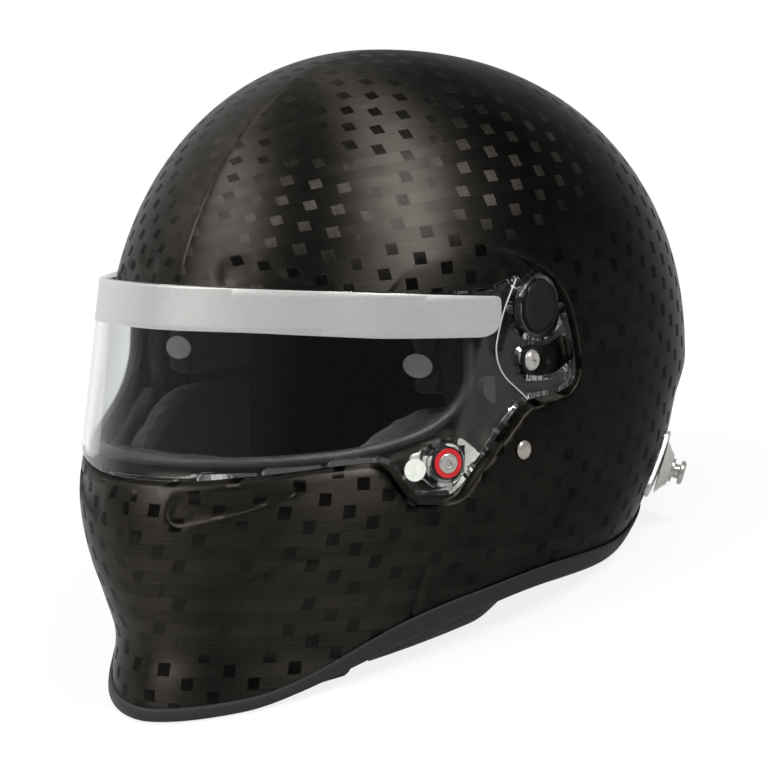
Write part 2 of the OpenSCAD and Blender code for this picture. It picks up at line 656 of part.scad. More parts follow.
// The strap turns to lie along the shell near its rivet, and is folded narrow there
strap_lean = 11;
strap_taper = 0.5;
module strap(side, extra = 0, tail = []) {
    route = concat(strap_route, tail);
    last = len(route) - 1;
    half = strap_t / 2 + 0.4 * extra;
    on_side(side) loft([for (i = [0:last])
        let (p = route[i], q = route[min(i + 1, last)], r = route[max(i - 1, 0)],
            d = [q[0] - r[0], q[2] - r[2]], n = [-d[1], d[0]] / norm(d) * half,
            w = (strap_w / 2) * (1 - strap_taper * min(max((p[2] + 48) / 12, 0), 1)) + 0.6 * extra,
            lean = w * tan(strap_lean) * min(max((p[2] + 80) / 40, 0), 1))
        [[p[0] - n[0] - lean, p[1] - w, p[2] - n[1]], [p[0] - n[0] + lean, p[1] + w, p[2] - n[1]],
            [p[0] + n[0] + lean, p[1] + w, p[2] + n[1]], [p[0] + n[0] - lean, p[1] - w, p[2] + n[1]]]]);
}
module strap_side(side, tail) color(fabric) stand() difference() {
    strap(side, 0, tail);
    on_side(side) at_rivet() cylinder(d = rivet_shank_d + 0.4, h = 40, center = true, $fn = bore_fn);
}

// Sewn end of the left strap, a sleeve with a bore for the bar of each ring
ring_r = strap_w / 2 + 0.5 + ring_wire / 2;
bore_slack = 0.5;
sleeve_d = ring_wire + bore_slack + 3.4;
ring_x = [40, 40 + ring_pitch];
ring_z = strap_route[7][2] - strap_t / 2 - 0.05 - sleeve_d / 2;
module along_y(x) {
    translate([x, strap_route[7][1], ring_z]) rotate([90, 0, 0]) children();
}
module strap_end() color(fabric) stand() difference() {
    hull() for (x = ring_x) along_y(x) cylinder(d = sleeve_d, h = strap_w - 1, center = true, $fn = 24);
    for (x = ring_x) along_y(x)
        cylinder(d = ring_wire + bore_slack, h = strap_w + 4, center = true, $fn = bore_fn);
}
module d_ring(x) color(steel) stand() {
    along_y(x) cylinder(d = ring_wire, h = 2 * ring_r, center = true, $fn = bore_fn);
    along_y(x) rotate([0, 0, 90]) rotate([90, 0, 0]) rotate([0, 0, 90])
        rotate_extrude(angle = 180, $fn = 48) translate([ring_r, 0]) circle(d = ring_wire, $fn = bore_fn);
    for (k = [-1, 1]) along_y(x) translate([0, 0, k * ring_r]) sphere(d = ring_wire, $fn = bore_fn);
}

// Boss under the post, and the outline of the bracket as [down, along] points
boss_h = 7;
bracket_outline = [[-13, 0], [10, -11], [10, 11]];
module restraint_bracket(side) color(steel) stand() one_mesh() on_side(side) difference() {
    intersection() {
        at_post() translate([0, 0, -12]) linear_extrude(40) offset(r = 5, $fn = 16) polygon(bracket_outline);
        union() {
            form_solid(shell_form, anchor_t, shell_cols, 12, shell_rows);
            at_post() cylinder(d1 = 2 * post_d + 2, d2 = post_d + 3, h = boss_h, $fn = 24);
        }
    }
    form_solid(shell_form, 0.05, shell_cols, 12, shell_rows);
    at_post() cylinder(d = screw_d + 0.3, h = 60, center = true, $fn = 24);
}
post_flange = 1.5;
post_head = 2.5;
post_bevel = 0.8;
module restraint_post(side) color(steel) stand() on_side(side) at_post() difference() {
    union() {
        translate([0, 0, -shell_t - 3]) cylinder(d = screw_d, h = boss_h + shell_t + 3, $fn = bore_fn);
        translate([0, 0, boss_h]) cylinder(d = post_d, h = post_flange, $fn = bore_fn);
        translate([0, 0, boss_h]) cylinder(d = post_neck_d, h = post_h, $fn = bore_fn);
        translate([0, 0, boss_h + post_h - post_head])
            cylinder(d = post_d, h = post_head - post_bevel, $fn = bore_fn);
        translate([0, 0, boss_h + post_h - post_bevel])
            cylinder(d1 = post_d, d2 = post_d - 3, h = post_bevel, $fn = bore_fn);
    }
    translate([0, 0, boss_h + post_h - 2]) cylinder(d = 4.4, h = 4, $fn = 6);
}

rivet_l = shell_t + strap_t + 3;
module strap_rivets() color(steel) stand() for (side = [1, -1]) on_side(side) at_rivet() {
    translate([0, 0, 0.3]) cylinder(d1 = rivet_d, d2 = rivet_d * 0.6, h = 1.5, $fn = bore_fn);
    translate([0, 0, -rivet_l]) cylinder(d = rivet_shank_d, h = rivet_l + 0.3, $fn = bore_fn);
}

outer_shell();
base_trim();
eyeport_seal();
visor();
sun_strip();
pivot_hub(1);  // pivot_hub_left
pivot_hub(-1);  // pivot_hub_right
pivot_collar(1);  // pivot_collar_left
pivot_collar(-1);  // pivot_collar_right
stop_washer(1);  // stop_washer_left
stop_washer(-1);  // stop_washer_right
stop_screw(1);  // stop_screw_left
stop_screw(-1);  // stop_screw_right
rubber_stop(1);  // rubber_stop_left
rubber_stop(-1);  // rubber_stop_right
lock_plate();
lock_guide();
lock_button();
lock_face();
lock_screw();
lock_catch();
lock_sticker();
foam_liner();
chin_foam();
crown_pad();
brow_pad();
temple_pad(1);  // temple_pad_left
temple_pad(-1);  // temple_pad_right
cheek_pad(1);  // cheek_pad_left
cheek_pad(-1);  // cheek_pad_right
patch(1);  // patch_left
patch(-1);  // patch_right
neck_roll();
strap_side(1, []);  // strap_left
strap_side(-1, tail_route);  // strap_right
strap_rivets();
strap_end();
d_ring(ring_x[0]);  // d_ring_inner
d_ring(ring_x[1]);  // d_ring_outer
restraint_bracket(1);  // restraint_bracket_left
restraint_bracket(-1);  // restraint_bracket_right
restraint_post(1);  // restraint_post_left
restraint_post(-1);  // restraint_post_right
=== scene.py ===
"""Full-face car racing helmet: smooth carbon shell, clear visor, linings and fittings.

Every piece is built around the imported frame.
"""

import math

import bmesh
import bpy
import numpy as np
from mathutils import Matrix, Vector
from mathutils.geometry import delaunay_2d_cdt


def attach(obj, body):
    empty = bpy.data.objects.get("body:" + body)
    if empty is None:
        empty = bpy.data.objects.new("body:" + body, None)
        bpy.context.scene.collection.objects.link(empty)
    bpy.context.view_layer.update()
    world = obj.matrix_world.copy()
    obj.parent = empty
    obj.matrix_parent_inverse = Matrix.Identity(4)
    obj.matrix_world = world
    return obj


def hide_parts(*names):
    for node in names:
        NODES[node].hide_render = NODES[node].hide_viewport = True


bl_info = {
    "name": "Car racing helmet",
    "version": (1, 0, 0),
    "blender": (4, 5, 0),
    "location": "3D View > Sidebar > Helmet",
    "description": "Builds a full-face helmet piece by piece around its packed frame",
    "category": "Object",
}

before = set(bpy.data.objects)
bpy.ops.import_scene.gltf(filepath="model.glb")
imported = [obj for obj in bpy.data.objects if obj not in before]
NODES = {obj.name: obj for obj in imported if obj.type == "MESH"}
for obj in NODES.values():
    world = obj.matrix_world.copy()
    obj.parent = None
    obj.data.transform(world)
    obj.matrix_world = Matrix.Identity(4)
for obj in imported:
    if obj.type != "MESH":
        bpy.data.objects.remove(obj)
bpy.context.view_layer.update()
SIDES = (("left", 1), ("right", -1))
MM = 0.001
# Points measured against a line in one go, which keeps the arrays small.
BATCH = 2000

# The head frame is level with the visor, in mm: front -Y, the wearer's left +X.
# Its origin is the middle of the ear line. These sizes repeat the part's own.
RIM_PITCH = math.radians(14.5)
RIM_DEPTH = 145.0
RIM_REF = 150.0
RIM_ARCH = 14.0
ARCH_ANGLES = (28.0, 68.0, 76.0, 122.0)
STAND_H = RIM_DEPTH * math.cos(RIM_PITCH) - RIM_REF * math.sin(RIM_PITCH)
STAND_Y = 10.44
# Thicknesses, depths and gaps.
TRIM_T = 2.0
TRIM_UNDER = 2.2
SHELL_T = 3.0
VISOR_T = 3.0
FILM_T = 0.4
PLATE_T = 0.8
POCKET_IN = 7.9
CREASE = 2.6
RECESS_IN = 1.4
RECESS_EDGE = 1.6
RUN_GAP = 0.35
FLOOR_SLACK = 0.1
# The visor's face is an oval cone: its size at the ear line, and how fast that grows downward.
VISOR_HALF_W = 125.5
VISOR_FLARE = 0.022
VISOR_REACH = 163.7
VISOR_LEAN = 0.208
VISOR_OVAL = 1.8
VISOR_BACK = 100.0
# The flat maps: mm across per degree, and on the shell's mm from the ear line to the rim and to the top.
DEGREE_MM = 2.3
SHELL_LOW = 120.0
SHELL_HIGH = 205.0
# Pivots, lock, strap and head restraint.
PIVOT = (-33.0, 36.0)
STOP_R = 25.0
STOP_CLOSED = -103.0
SLOT_ANGLE = 45.0
SLOT_W = 13.6
HUB_D = 25.0
COLLAR_D = 28.9
BUTTON_AT = (-82.5, -32.2)
BUTTON_D = 14.4
GUIDE_D = 15.1
GUIDE_OUT = 18.3
RIVET_AT = (-43.0, -29.0)
STRAP_HALF_W = 12.5
POST_ANGLE = math.radians(127.0)
POST_Z = -51.0
POST_YAW = math.radians(34.0)
POST_DIP = math.radians(16.0)

# Outlines as seen from the side, in (y, z). The open ones run out past the front.
PORT_LINE = [(-230, 36), (-68, 36), (-68, 3), (-74, -7.5), (-89, -18), (-114, -25.5), (-150, -29.7),
             (-230, -30)]
VISOR_LINE = [(-230, 47.5), (-150, 47), (-118, 45.5), (-90, 43.8), (-63, 44.3), (-45, 50.3),
              (-36, 51.8), (-28, 49.3), (-21, 42.5), (-15.2, 28.5), (-11, 12), (-10.8, 3), (-13, -0.5),
              (-20, -3.6), (-38, -5.8), (-44.5, -8), (-55, -19.3), (-65.6, -32), (-76.7, -43.6),
              (-81, -47), (-95.6, -46.4), (-100, -41), (-103.5, -33.5), (-109, -30.4), (-126, -31.8),
              (-145, -35), (-157, -36.9), (-167, -39.3), (-230, -40)]
POCKET_LINE = [(-230, 30), (-116, 30), (-96, 44), (-84, 62), (-69.5, 72), (-54.3, 67), (-41.3, 61.8),
               (-32, 57), (-21.5, 50.5), (-13.8, 42), (-9.5, 28), (-6.6, 12), (-6.8, 3), (-11.4, -4.5),
               (-21.3, -8), (-33.3, -9.8), (-40.3, -12.2), (-48, -20), (-56, -28.5), (-66, -40.5),
               (-72, -50), (-79, -52.5), (-97, -51.5), (-103.5, -44), (-107, -36.8), (-111, -33.5),
               (-126, -34.8), (-145, -37.8), (-157, -39.8), (-167, -41.8), (-230, -42.5)]
STRIP_LINE = [(-230, 47), (-150, 46.5), (-118, 45), (-90, 43.3), (-54.5, 41.3), (-53, 40.3),
              (-53, 31), (-55.2, 25.6), (-61, 23.0), (-105, 23.9), (-145, 26.9), (-230, 27.5)]
PLATE_LINE = [(-61.5, -31), (-73, -21.5), (-79, -24), (-86, -27), (-97.5, -28.5), (-95.5, -36),
              (-89, -42), (-79, -46), (-73.5, -44.5)]
LOBE_LINE = [(-38, 62), (-45.7, 48), (-53, 32.7), (-57.2, 16.2), (-54, 5.6), (-42.5, -4.1), (-30, -16),
             (20, -16), (20, 62)]
# A chin recess as seen from the front, in (x, z).
RECESS_LINE = [(21, -44.5), (18, -55), (23, -60), (49, -53), (66, -45.5), (67, -42)]
# Seams of the shell's sides: points in (y, z), depth and half width.
SEAMS = [
    ([(-157, -95), (-155.5, -88), (-151, -82), (-143, -76.5), (-126, -71.7)], 0.9, 1.2),
    ([(-82.7, -74), (-82, -92), (-80.8, -112)], 0.8, 0.7),
    ([(12, -34), (30, -30), (52, -27.4)], 0.4, 1.5),
]
# Centre seam ahead of the crown: depth, half width and lowest height.
CROWN_SEAM = (0.3, 0.6, 50.0)
# Hollow under the lock: middle, half sizes and depth.
DIMPLE = ((-84.0, -57.5), (11.0, 5.0), 1.3)
# Middle line of the strap in (x, y, z), and the free end of the right one.
STRAP_ROUTE = [(113.6, -41, -24.5), (113.2, -42, -36), (107, -43, -48), (96, -44, -62), (82, -46, -74),
               (66, -48, -82.3), (50, -49, -85), (38, -49, -85)]
TAIL_ROUTE = [(28, -49, -86), (18, -49, -89)]


def stand(points):
    """Turns points of the head frame, in mm, into the row frame, in metres."""
    p = np.asarray(points, float)
    c, s = math.cos(RIM_PITCH), math.sin(RIM_PITCH)
    y = p[..., 1] * c + p[..., 2] * s + STAND_Y
    z = -p[..., 1] * s + p[..., 2] * c + STAND_H
    return np.stack([p[..., 0], y, z], -1) * MM


def curve(rows, z):
    """Cubic curve through rows of (height, value), level at its first row."""
    height = np.array([r[0] for r in rows], float)
    value = np.array([r[1] for r in rows], float)
    slope = np.zeros(len(height))
    slope[1:-1] = (value[2:] - value[:-2]) / (height[2:] - height[:-2])
    slope[-1] = (value[-1] - value[-2]) / (height[-1] - height[-2])
    z = np.clip(z, height[-1], height[0])
    i = np.clip(np.searchsorted(-height, -z) - 1, 0, len(height) - 2)
    span = height[i + 1] - height[i]
    t = (z - height[i]) / span
    u = 1 - t
    return (value[i] * (1 + 2 * t) * u * u + slope[i] * span * t * u * u
            + value[i + 1] * t * t * (3 - 2 * t) - slope[i + 1] * span * t * t * u)


class Form:
    """Smooth closed form: an oval in plan with curved rows below the ears and domes above.

    Its dims are the half width, the front and back reach, and the top. Its exponents are those of the
    oval's front and back, then those of the domes at the side, front and back. A row is (height, reach).
    """

    def __init__(self, dims, exponents, side, front, back):
        self.dims = dims
        self.exponents = exponents
        self.rows = (side, front, back)

    def reach(self, k, z, off=0.0):
        """Half width, front or back reach at a height, with an offset."""
        z = np.asarray(z, float)
        top = self.dims[3] + off
        m = self.exponents[2 + k]
        high = (self.dims[k] + off) * np.maximum(1 - np.clip(z / top, 0, 1) ** m, 0) ** (1 / m)
        return np.where(z > 0, high, curve(self.rows[k], z) + off)

    def point(self, a, z, off=0.0):
        """Surface point at an angle from the front and a height."""
        a, z = np.broadcast_arrays(np.asarray(a, float), np.asarray(z, float))
        s, c = np.sin(a), np.cos(a)
        n = np.where(c > 0, self.exponents[0], self.exponents[1])
        along = np.where(c > 0, self.reach(1, z, off), self.reach(2, z, off))
        x = self.reach(0, z, off) * np.sign(s) * np.abs(s) ** (2 / n)
        y = -along * np.sign(c) * np.abs(c) ** (2 / n)
        return np.stack([x, y, z], -1)

    def radius(self, phi, z, off=0.0):
        """Distance from the upright axis at a true angle and a height."""
        s, c = np.abs(np.sin(phi)), np.cos(phi)
        n = np.where(c > 0, self.exponents[0], self.exponents[1])
        along = np.where(c > 0, self.reach(1, z, off), self.reach(2, z, off))
        wide = np.maximum(self.reach(0, z, off), 1e-6)
        long = np.maximum(along, 1e-6)
        return ((s / wide) ** n + (np.abs(c) / long) ** n) ** (-1 / n)

    def angle_at(self, y, z):
        """Angle of the surface point ahead of the ears that lies at y, and 0 beyond the front."""
        share = np.clip(-np.asarray(y, float) / self.reach(1, z), 0, 1)
        return np.arccos(share ** (self.exponents[0] / 2))

    def wall_x(self, y, z):
        """Half the width at a point ahead of the ears."""
        return self.point(self.angle_at(y, z), z)[..., 0]


SHELL = Form(
    (126.0, 150.0, 182.0, 151.5), (1.77, 2.06, 2.24, 1.98, 2.08),
    [(0, 126), (-35, 126), (-70, 117.5), (-100, 104.5), (-135, 96)],
    [(0, 150), (-15, 159.99), (-35, 170.5), (-55, 177), (-80, 175), (-100, 168.445), (-118, 162.5),
     (-134, 167), (-150, 168)],
    [(0, 182), (-20, 168), (-45, 156), (-70, 140), (-95, 122), (-120, 106)])


def base_z(y):
    """Height of the plane that the helmet stands on."""
    return -RIM_DEPTH + (y + RIM_REF) * math.tan(RIM_PITCH)


def rim_z(a):
    """Height of the shell's rim at an angle, by stepping to its sloped plane."""
    turn = np.degrees(np.abs((np.asarray(a) + math.pi) % (2 * math.pi) - math.pi))
    start, full, still, end = ARCH_ANGLES
    arch = RIM_ARCH * smooth_step((turn - start) / (full - start)) * smooth_step((end - turn) / (end - still))
    z = np.full(np.shape(a), -120.0)
    for _ in range(7):
        y = SHELL.point(a, z)[..., 1]
        z = base_z(y) + arch + TRIM_UNDER
    return z


def visor_wide(z, off=0.0):
    """Half the width of the visor's face at a height."""
    return VISOR_HALF_W - VISOR_FLARE * z + off


def visor_ahead(z, off=0.0):
    """Reach of the visor's face ahead of the ears at a height."""
    return VISOR_REACH - VISOR_LEAN * z + off


def visor_point(a, z, off=0.0):
    """Point of the visor's outer face, an oval cone, at an angle from the front."""
    a, z = np.broadcast_arrays(np.asarray(a, float), np.asarray(z, float))
    s, c = np.sin(a), np.cos(a)
    n = np.where(c > 0, VISOR_OVAL, 2.0)
    along = np.where(c > 0, visor_ahead(z, off), VISOR_BACK)
    x = visor_wide(z, off) * np.sign(s) * np.abs(s) ** (2 / n)
    y = -along * np.sign(c) * np.abs(c) ** (2 / n)
    return np.stack([x, y, z], -1)


def visor_radius(phi, z, off=0.0):
    """Distance of the visor's face from the upright axis at a true angle."""
    s, c = np.abs(np.sin(phi)), np.cos(phi)
    n = np.where(c > 0, VISOR_OVAL, 2.0)
    along = np.where(c > 0, visor_ahead(z, off), VISOR_BACK)
    return ((s / visor_wide(z, off)) ** n + (np.abs(c) / along) ** n) ** (-1 / n)


def visor_angle(y, z):
    """Angle of the visor's point at y ahead of the ears, and 0 beyond the front."""
    share = np.clip(-np.asarray(y, float) / visor_ahead(np.asarray(z, float)), 0, 1)
    return np.arccos(share ** (VISOR_OVAL / 2))


def polar(p):
    """True angle from the front, and distance from the upright axis."""
    return np.arctan2(p[:, 0], -p[:, 1]), np.hypot(p[:, 0], p[:, 1])


def from_polar(phi, r, z):
    """Points at true angles, distances from the upright axis, and heights."""
    return np.stack([np.sin(phi) * r, -np.cos(phi) * r, z], -1)


def rounded_corner(pts, i, cut, share, count):
    """Samples of the curve that rounds one corner, using no more than a share of each side."""
    before, after = pts[i - 1] - pts[i], pts[i + 1] - pts[i]
    room = min(cut, share * np.linalg.norm(before), share * np.linalg.norm(after))
    start = pts[i] + before / np.linalg.norm(before) * room
    end = pts[i] + after / np.linalg.norm(after) * room
    t = np.linspace(0, 1, count)[:, None]
    return start * (1 - t) ** 2 + 2 * pts[i] * t * (1 - t) + end * t * t


def soft_line(points, cut=12.0, step=1.5):
    """Open outline with every corner rounded, in samples no further apart than step."""
    pts = [np.array(p, float) for p in points]
    corners = [rounded_corner(pts, i, cut, 0.499, 9) for i in range(1, len(pts) - 1)]
    return even(np.concatenate([pts[0][None], *corners, pts[-1][None]]), step)


def run_along(line):
    """Length along the line up to each of its points."""
    return np.concatenate([[0], np.cumsum(np.linalg.norm(np.diff(line, axis=0), axis=1))])


def resampled(line, count):
    """The line in a count of evenly spaced samples."""
    length = run_along(line)
    at = np.linspace(0, length[-1], count)
    return np.stack([np.interp(at, length, line[:, k]) for k in range(line.shape[1])], 1)


def even(line, step, closed=False):
    """The line sampled anew at even steps."""
    pts = np.vstack([line, line[:1]]) if closed else np.asarray(line, float)
    out = resampled(pts, max(2, int(math.ceil(run_along(pts)[-1] / step)) + 1))
    return out[:-1] if closed else out


def soft_loop(points, cut=12.0, step=1.5):
    """Closed outline with every corner rounded."""
    pts = list(points)
    start = ((pts[-1][0] + pts[0][0]) / 2, (pts[-1][1] + pts[0][1]) / 2)
    return even(soft_line([start] + pts + [start], cut, step / 2)[:-1], step, True)


def shifted(line, by, closed=False):
    """The line moved sideways: to the right of its own direction by a distance."""
    ahead = np.roll(line, -1, 0) - np.roll(line, 1, 0)
    if not closed:
        ahead[0] = line[1] - line[0]
        ahead[-1] = line[-1] - line[-2]
    ahead /= np.maximum(np.linalg.norm(ahead, axis=1), 1e-9)[:, None]
    return line + by * np.stack([ahead[:, 1], -ahead[:, 0]], 1)


def inward(loop):
    """1 where the loop's inside is to the right of its direction, else -1."""
    x, y = loop[:, 0], loop[:, 1]
    area = (x * np.roll(y, -1) - np.roll(x, -1) * y).sum()
    return -1.0 if area > 0 else 1.0


def inside(points, loop):
    """Whether each point lies in a closed loop."""
    out = np.zeros(len(points), bool)
    a, b = loop, np.roll(loop, -1, 0)
    rise = np.where(b[:, 1] == a[:, 1], 1e-12, b[:, 1] - a[:, 1])
    for k in range(0, len(points), BATCH):
        x, y = points[k:k + BATCH, 0:1], points[k:k + BATCH, 1:2]
        crossed = (a[:, 1] > y) != (b[:, 1] > y)
        at = a[:, 0] + (y - a[:, 1]) * (b[:, 0] - a[:, 0]) / rise
        out[k:k + BATCH] = (crossed & (x < at)).sum(1) % 2 == 1
    return out


def distance(points, line, closed=True):
    """Distance of each point to a line of segments."""
    a = line if closed else line[:-1]
    b = np.roll(line, -1, 0) if closed else line[1:]
    ab = b - a
    square = np.maximum((ab ** 2).sum(1), 1e-12)
    out = np.zeros(len(points))
    for k in range(0, len(points), BATCH):
        p = points[k:k + BATCH, None, :]
        t = np.clip(((p - a) * ab).sum(2) / square, 0, 1)
        out[k:k + BATCH] = np.sqrt((((p - a) - t[..., None] * ab) ** 2).sum(2).min(1))
    return out


def depth_in(points, loop):
    """Distance inside a loop, below 0 outside it."""
    away = distance(points, loop)
    return np.where(inside(points, loop), away, -away)


def smooth_step(t):
    """Eases from 0 to 1."""
    t = np.clip(t, 0, 1)
    return t * t * (3 - 2 * t)


def triangulate(lines, grid, clearance, keep):
    """Triangles of a flat region: lines are (points, closed), grid fills it, keep picks triangles."""
    fixed = np.concatenate([points for points, _ in lines])
    near = np.zeros(len(grid), bool)
    for k in range(0, len(grid), BATCH):
        gap = grid[k:k + BATCH, None, :] - fixed[None]
        near[k:k + BATCH] = ((gap ** 2).sum(2) < clearance ** 2).any(1)
    points = np.concatenate([fixed, grid[~near]])
    edges = []
    start = 0
    for line, closed in lines:
        count = len(line)
        edges += [(start + i, start + (i + 1) % count) for i in range(count if closed else count - 1)]
        start += count
    made = delaunay_2d_cdt([Vector(p) for p in points.tolist()], edges, [], 0, 1e-4)
    verts = np.array([tuple(v) for v in made[0]], float)
    faces = np.array([f for f in made[2] if len(f) == 3], int)
    centre = verts[faces].mean(1)
    return verts, faces[keep(centre)]


def both_sides(half):
    """Closed loop from a half line that starts and ends at the centre plane."""
    return np.concatenate([half, half[-2:0:-1] * (-1, 1)])


POCKET = soft_line(POCKET_LINE, 9)
RECESS = soft_loop(RECESS_LINE, 5)


def shell_flat(y, z):
    """Place on the shell's flat map of a point seen from the side."""
    a = SHELL.angle_at(y, z)
    v = np.where(np.asarray(z) > 0, SHELL_HIGH * np.arcsin(np.clip(z / SHELL.dims[3], -1, 1)) * 2 / math.pi,
                 -SHELL_LOW * z / rim_z(a))
    return np.stack([np.degrees(a) * DEGREE_MM, v], -1)


def shell_unflat(flat):
    """Angle and height of places on the flat map."""
    a = np.radians(flat[:, 0] / DEGREE_MM)
    v = flat[:, 1]
    high = SHELL.dims[3] * np.sin(np.clip(v, 0, SHELL_HIGH) / SHELL_HIGH * math.pi / 2)
    return a, np.where(v > 0, high, rim_z(a) * -v / SHELL_LOW)


def front_half(line, flat, beyond):
    """Half loop on a flat map from a side outline whose ends run out past the front."""
    line = line[~beyond(line[:, 0], line[:, 1])]
    half = flat(line[:, 0], line[:, 1])
    start, end = [[0, half[0, 1]]], [[0, half[-1, 1]]]
    return even(np.concatenate([start, half, end]), 1.6)


def past_shell(y, z):
    """Whether a point seen from the side lies past the shell's front."""
    return -y >= SHELL.reach(1, z) - 0.02


def past_visor(y, z):
    """Whether a point seen from the side lies past the visor's front."""
    return -y >= visor_ahead(z) - 0.02


def seam_flat(line):
    """Place on the shell's flat map of a seam's points, ahead of the ears or behind them."""
    y, z = line[:, 0], line[:, 1]
    flat = shell_flat(y, z)
    share = np.clip(y / SHELL.reach(2, z), 0, 1)
    behind = 180 - np.degrees(np.arccos(share ** (SHELL.exponents[1] / 2)))
    return np.where((y > 0)[:, None], np.stack([behind * DEGREE_MM, flat[:, 1]], 1), flat)


def seam_depth(p):
    """How far the seams and the dimple under the lock lie below the skin."""
    depth = np.zeros(len(p))
    for points, deep, half in SEAMS:
        line = soft_line(points, 6, 1.0)
        away = distance(p[:, 1:], line, False)
        from_start, from_end = (np.linalg.norm(p[:, 1:] - end, axis=1) for end in (line[0], line[-1]))
        ends = np.minimum(from_start, from_end)
        depth += deep * np.exp(-(away / half) ** 2) * smooth_step(ends / 8)
    deep, half, start = CROWN_SEAM
    depth += deep * np.exp(-(p[:, 0] / half) ** 2) * (p[:, 1] < 0) * smooth_step((p[:, 2] - start) / 8)
    (y, z), (wide, high), deep = DIMPLE
    round_off = ((p[:, 1] - y) / wide) ** 2 + ((p[:, 2] - z) / high) ** 2
    return depth + deep * np.maximum(1 - round_off, 0) ** 2


def shell_skin(a, z, crease=CREASE, recess=RECESS_IN):
    """Outer face of the shell with the visor's pocket, the chin recesses and the seams let into it."""
    p = SHELL.point(a, z)
    phi, r = polar(p)
    floor = visor_radius(phi, p[:, 2], -POCKET_IN)
    side = depth_in(p[:, 1:], POCKET)
    r = r - smooth_step(side / crease) * np.maximum(r - floor, 0)
    ahead = depth_in(np.abs(p[:, [0, 2]]) * (1, -1), RECESS)
    r = r - recess * smooth_step(ahead / RECESS_EDGE) * (p[:, 1] < 0) - seam_depth(p)
    return from_polar(phi, r, p[:, 2])


def frame_at(origin, out, down):
    """Axes at a point: x down, y along, z out, as rows."""
    z = np.array(out, float) / np.linalg.norm(out)
    x = np.array(down, float) - np.dot(down, z) * z
    x /= np.linalg.norm(x)
    return np.array(origin, float), np.stack([x, np.cross(z, x), z])


def visor_frame(y, z):
    """Frame square to the visor's face at a side point."""
    w, f = visor_wide(z), visor_ahead(z)
    x = w * (1 - (-y / f) ** VISOR_OVAL) ** (1 / VISOR_OVAL)
    out = ((x / w) ** (VISOR_OVAL - 1) / w, -((-y / f) ** (VISOR_OVAL - 1)) / f, 0)
    return frame_at((x, y, z), out, (0, 0, -1))


def pivot_frame(y, z):
    """Frame with its z along the hinge's axis, on the visor's face."""
    x = visor_frame(y, z)[0][0]
    return frame_at((x, y, z), (1, 0, 0), (0, 0, -1))


def rivet_frame():
    """Frame of the strap rivet, on the shell."""
    x = float(SHELL.wall_x(*RIVET_AT))
    yaw = math.radians(-9)
    return frame_at((x, *RIVET_AT), (math.cos(yaw), math.sin(yaw), 0), (0, 0, -1))


def post_frame():
    """Frame of the restraint post, on the shell."""
    tip = math.pi / 2 + POST_DIP
    flat = (math.cos(POST_YAW), math.sin(POST_YAW))
    out = (flat[0] * math.sin(tip), flat[1] * math.sin(tip), math.cos(tip))
    down = (flat[0] * math.cos(tip), flat[1] * math.cos(tip), -math.sin(tip))
    return frame_at(SHELL.point(POST_ANGLE, POST_Z), out, down)


def placed(frame, local):
    """Points of a local frame in the head frame."""
    origin, axes = frame
    return origin + np.asarray(local, float) @ axes


def turned(rings, segments=72):
    """Turned piece: rings of (radius, height) or (half flat width, height, 6) for a hexagon."""
    t = np.arange(segments) * 2 * math.pi / segments
    points = []
    for ring in rings:
        r = np.full(segments, float(ring[0]))
        if len(ring) > 2:
            r = ring[0] / np.cos((t + math.pi / 6) % (math.pi / 3) - math.pi / 6)
        points.append(np.stack([r * np.cos(t), r * np.sin(t), np.full(segments, float(ring[1]))], 1))
    points = np.concatenate(points)
    faces = []
    for i in range(len(rings) - 1):
        for j in range(segments):
            k = (j + 1) % segments
            faces.append((i * segments + j, i * segments + k, (i + 1) * segments + k, (i + 1) * segments + j))
    return points, faces


def rounded_rings(outline, radius):
    """Rings of a turned piece with its outline's corners rounded, in (radius, height)."""
    pts = [np.array(p, float) for p in outline]
    rings = [tuple(pts[0])]
    for i in range(1, len(pts) - 1):
        rings += [tuple(p) for p in rounded_corner(pts, i, radius, 0.45, 4)]
    rings.append(tuple(pts[-1]))
    return rings


def bush(inner, outer, low, high, radius):
    """Rings of a turned bush or washer with rounded edges."""
    return rounded_rings([(inner, low), (inner, high), (outer, high), (outer, low), (inner, low)], radius)


def lofted(rings, looped=False, capped=True):
    """Skin over closed rings of points: quads between them and a face on each end."""
    count, size = len(rings), len(rings[0])
    faces = []
    for i in range(count if looped else count - 1):
        b = ((i + 1) % count) * size
        for j in range(size):
            k = (j + 1) % size
            faces.append((i * size + j, i * size + k, b + k, b + j))
    if capped and not looped:
        faces.append(tuple(range(size - 1, -1, -1)))
        faces.append(tuple((count - 1) * size + j for j in range(size)))
    return np.concatenate(rings), faces


def add_piece(name, points, faces, material, body, stands_for=(), side=1, uv=None, sharp=35.0,
              outward=True):
    """Makes a piece from head frame points, on its body, in place of its CAD nodes."""
    points = np.array(points, float)
    if side < 0:
        points[:, 0] *= -1
    faces = [tuple(int(i) for i in f) for f in faces]
    mesh = bpy.data.meshes.new(name)
    mesh.from_pydata(stand(points).tolist(), [], faces)
    if uv is not None:
        layer = mesh.uv_layers.new(name="cloth")
        places = np.asarray(uv, np.float32)
        if len(places) == len(points):
            index = np.zeros(len(mesh.loops), int)
            mesh.loops.foreach_get("vertex_index", index)
            places = places[index]
        layer.data.foreach_set("uv", places.ravel())
    work = bmesh.new()
    work.from_mesh(mesh)
    bmesh.ops.remove_doubles(work, verts=work.verts, dist=2e-6)
    if outward:
        bmesh.ops.recalc_face_normals(work, faces=work.faces)
    work.to_mesh(mesh)
    work.free()
    obj = bpy.data.objects.new(name, mesh)
    finish_piece(obj, material, body, stands_for, sharp)
    return obj


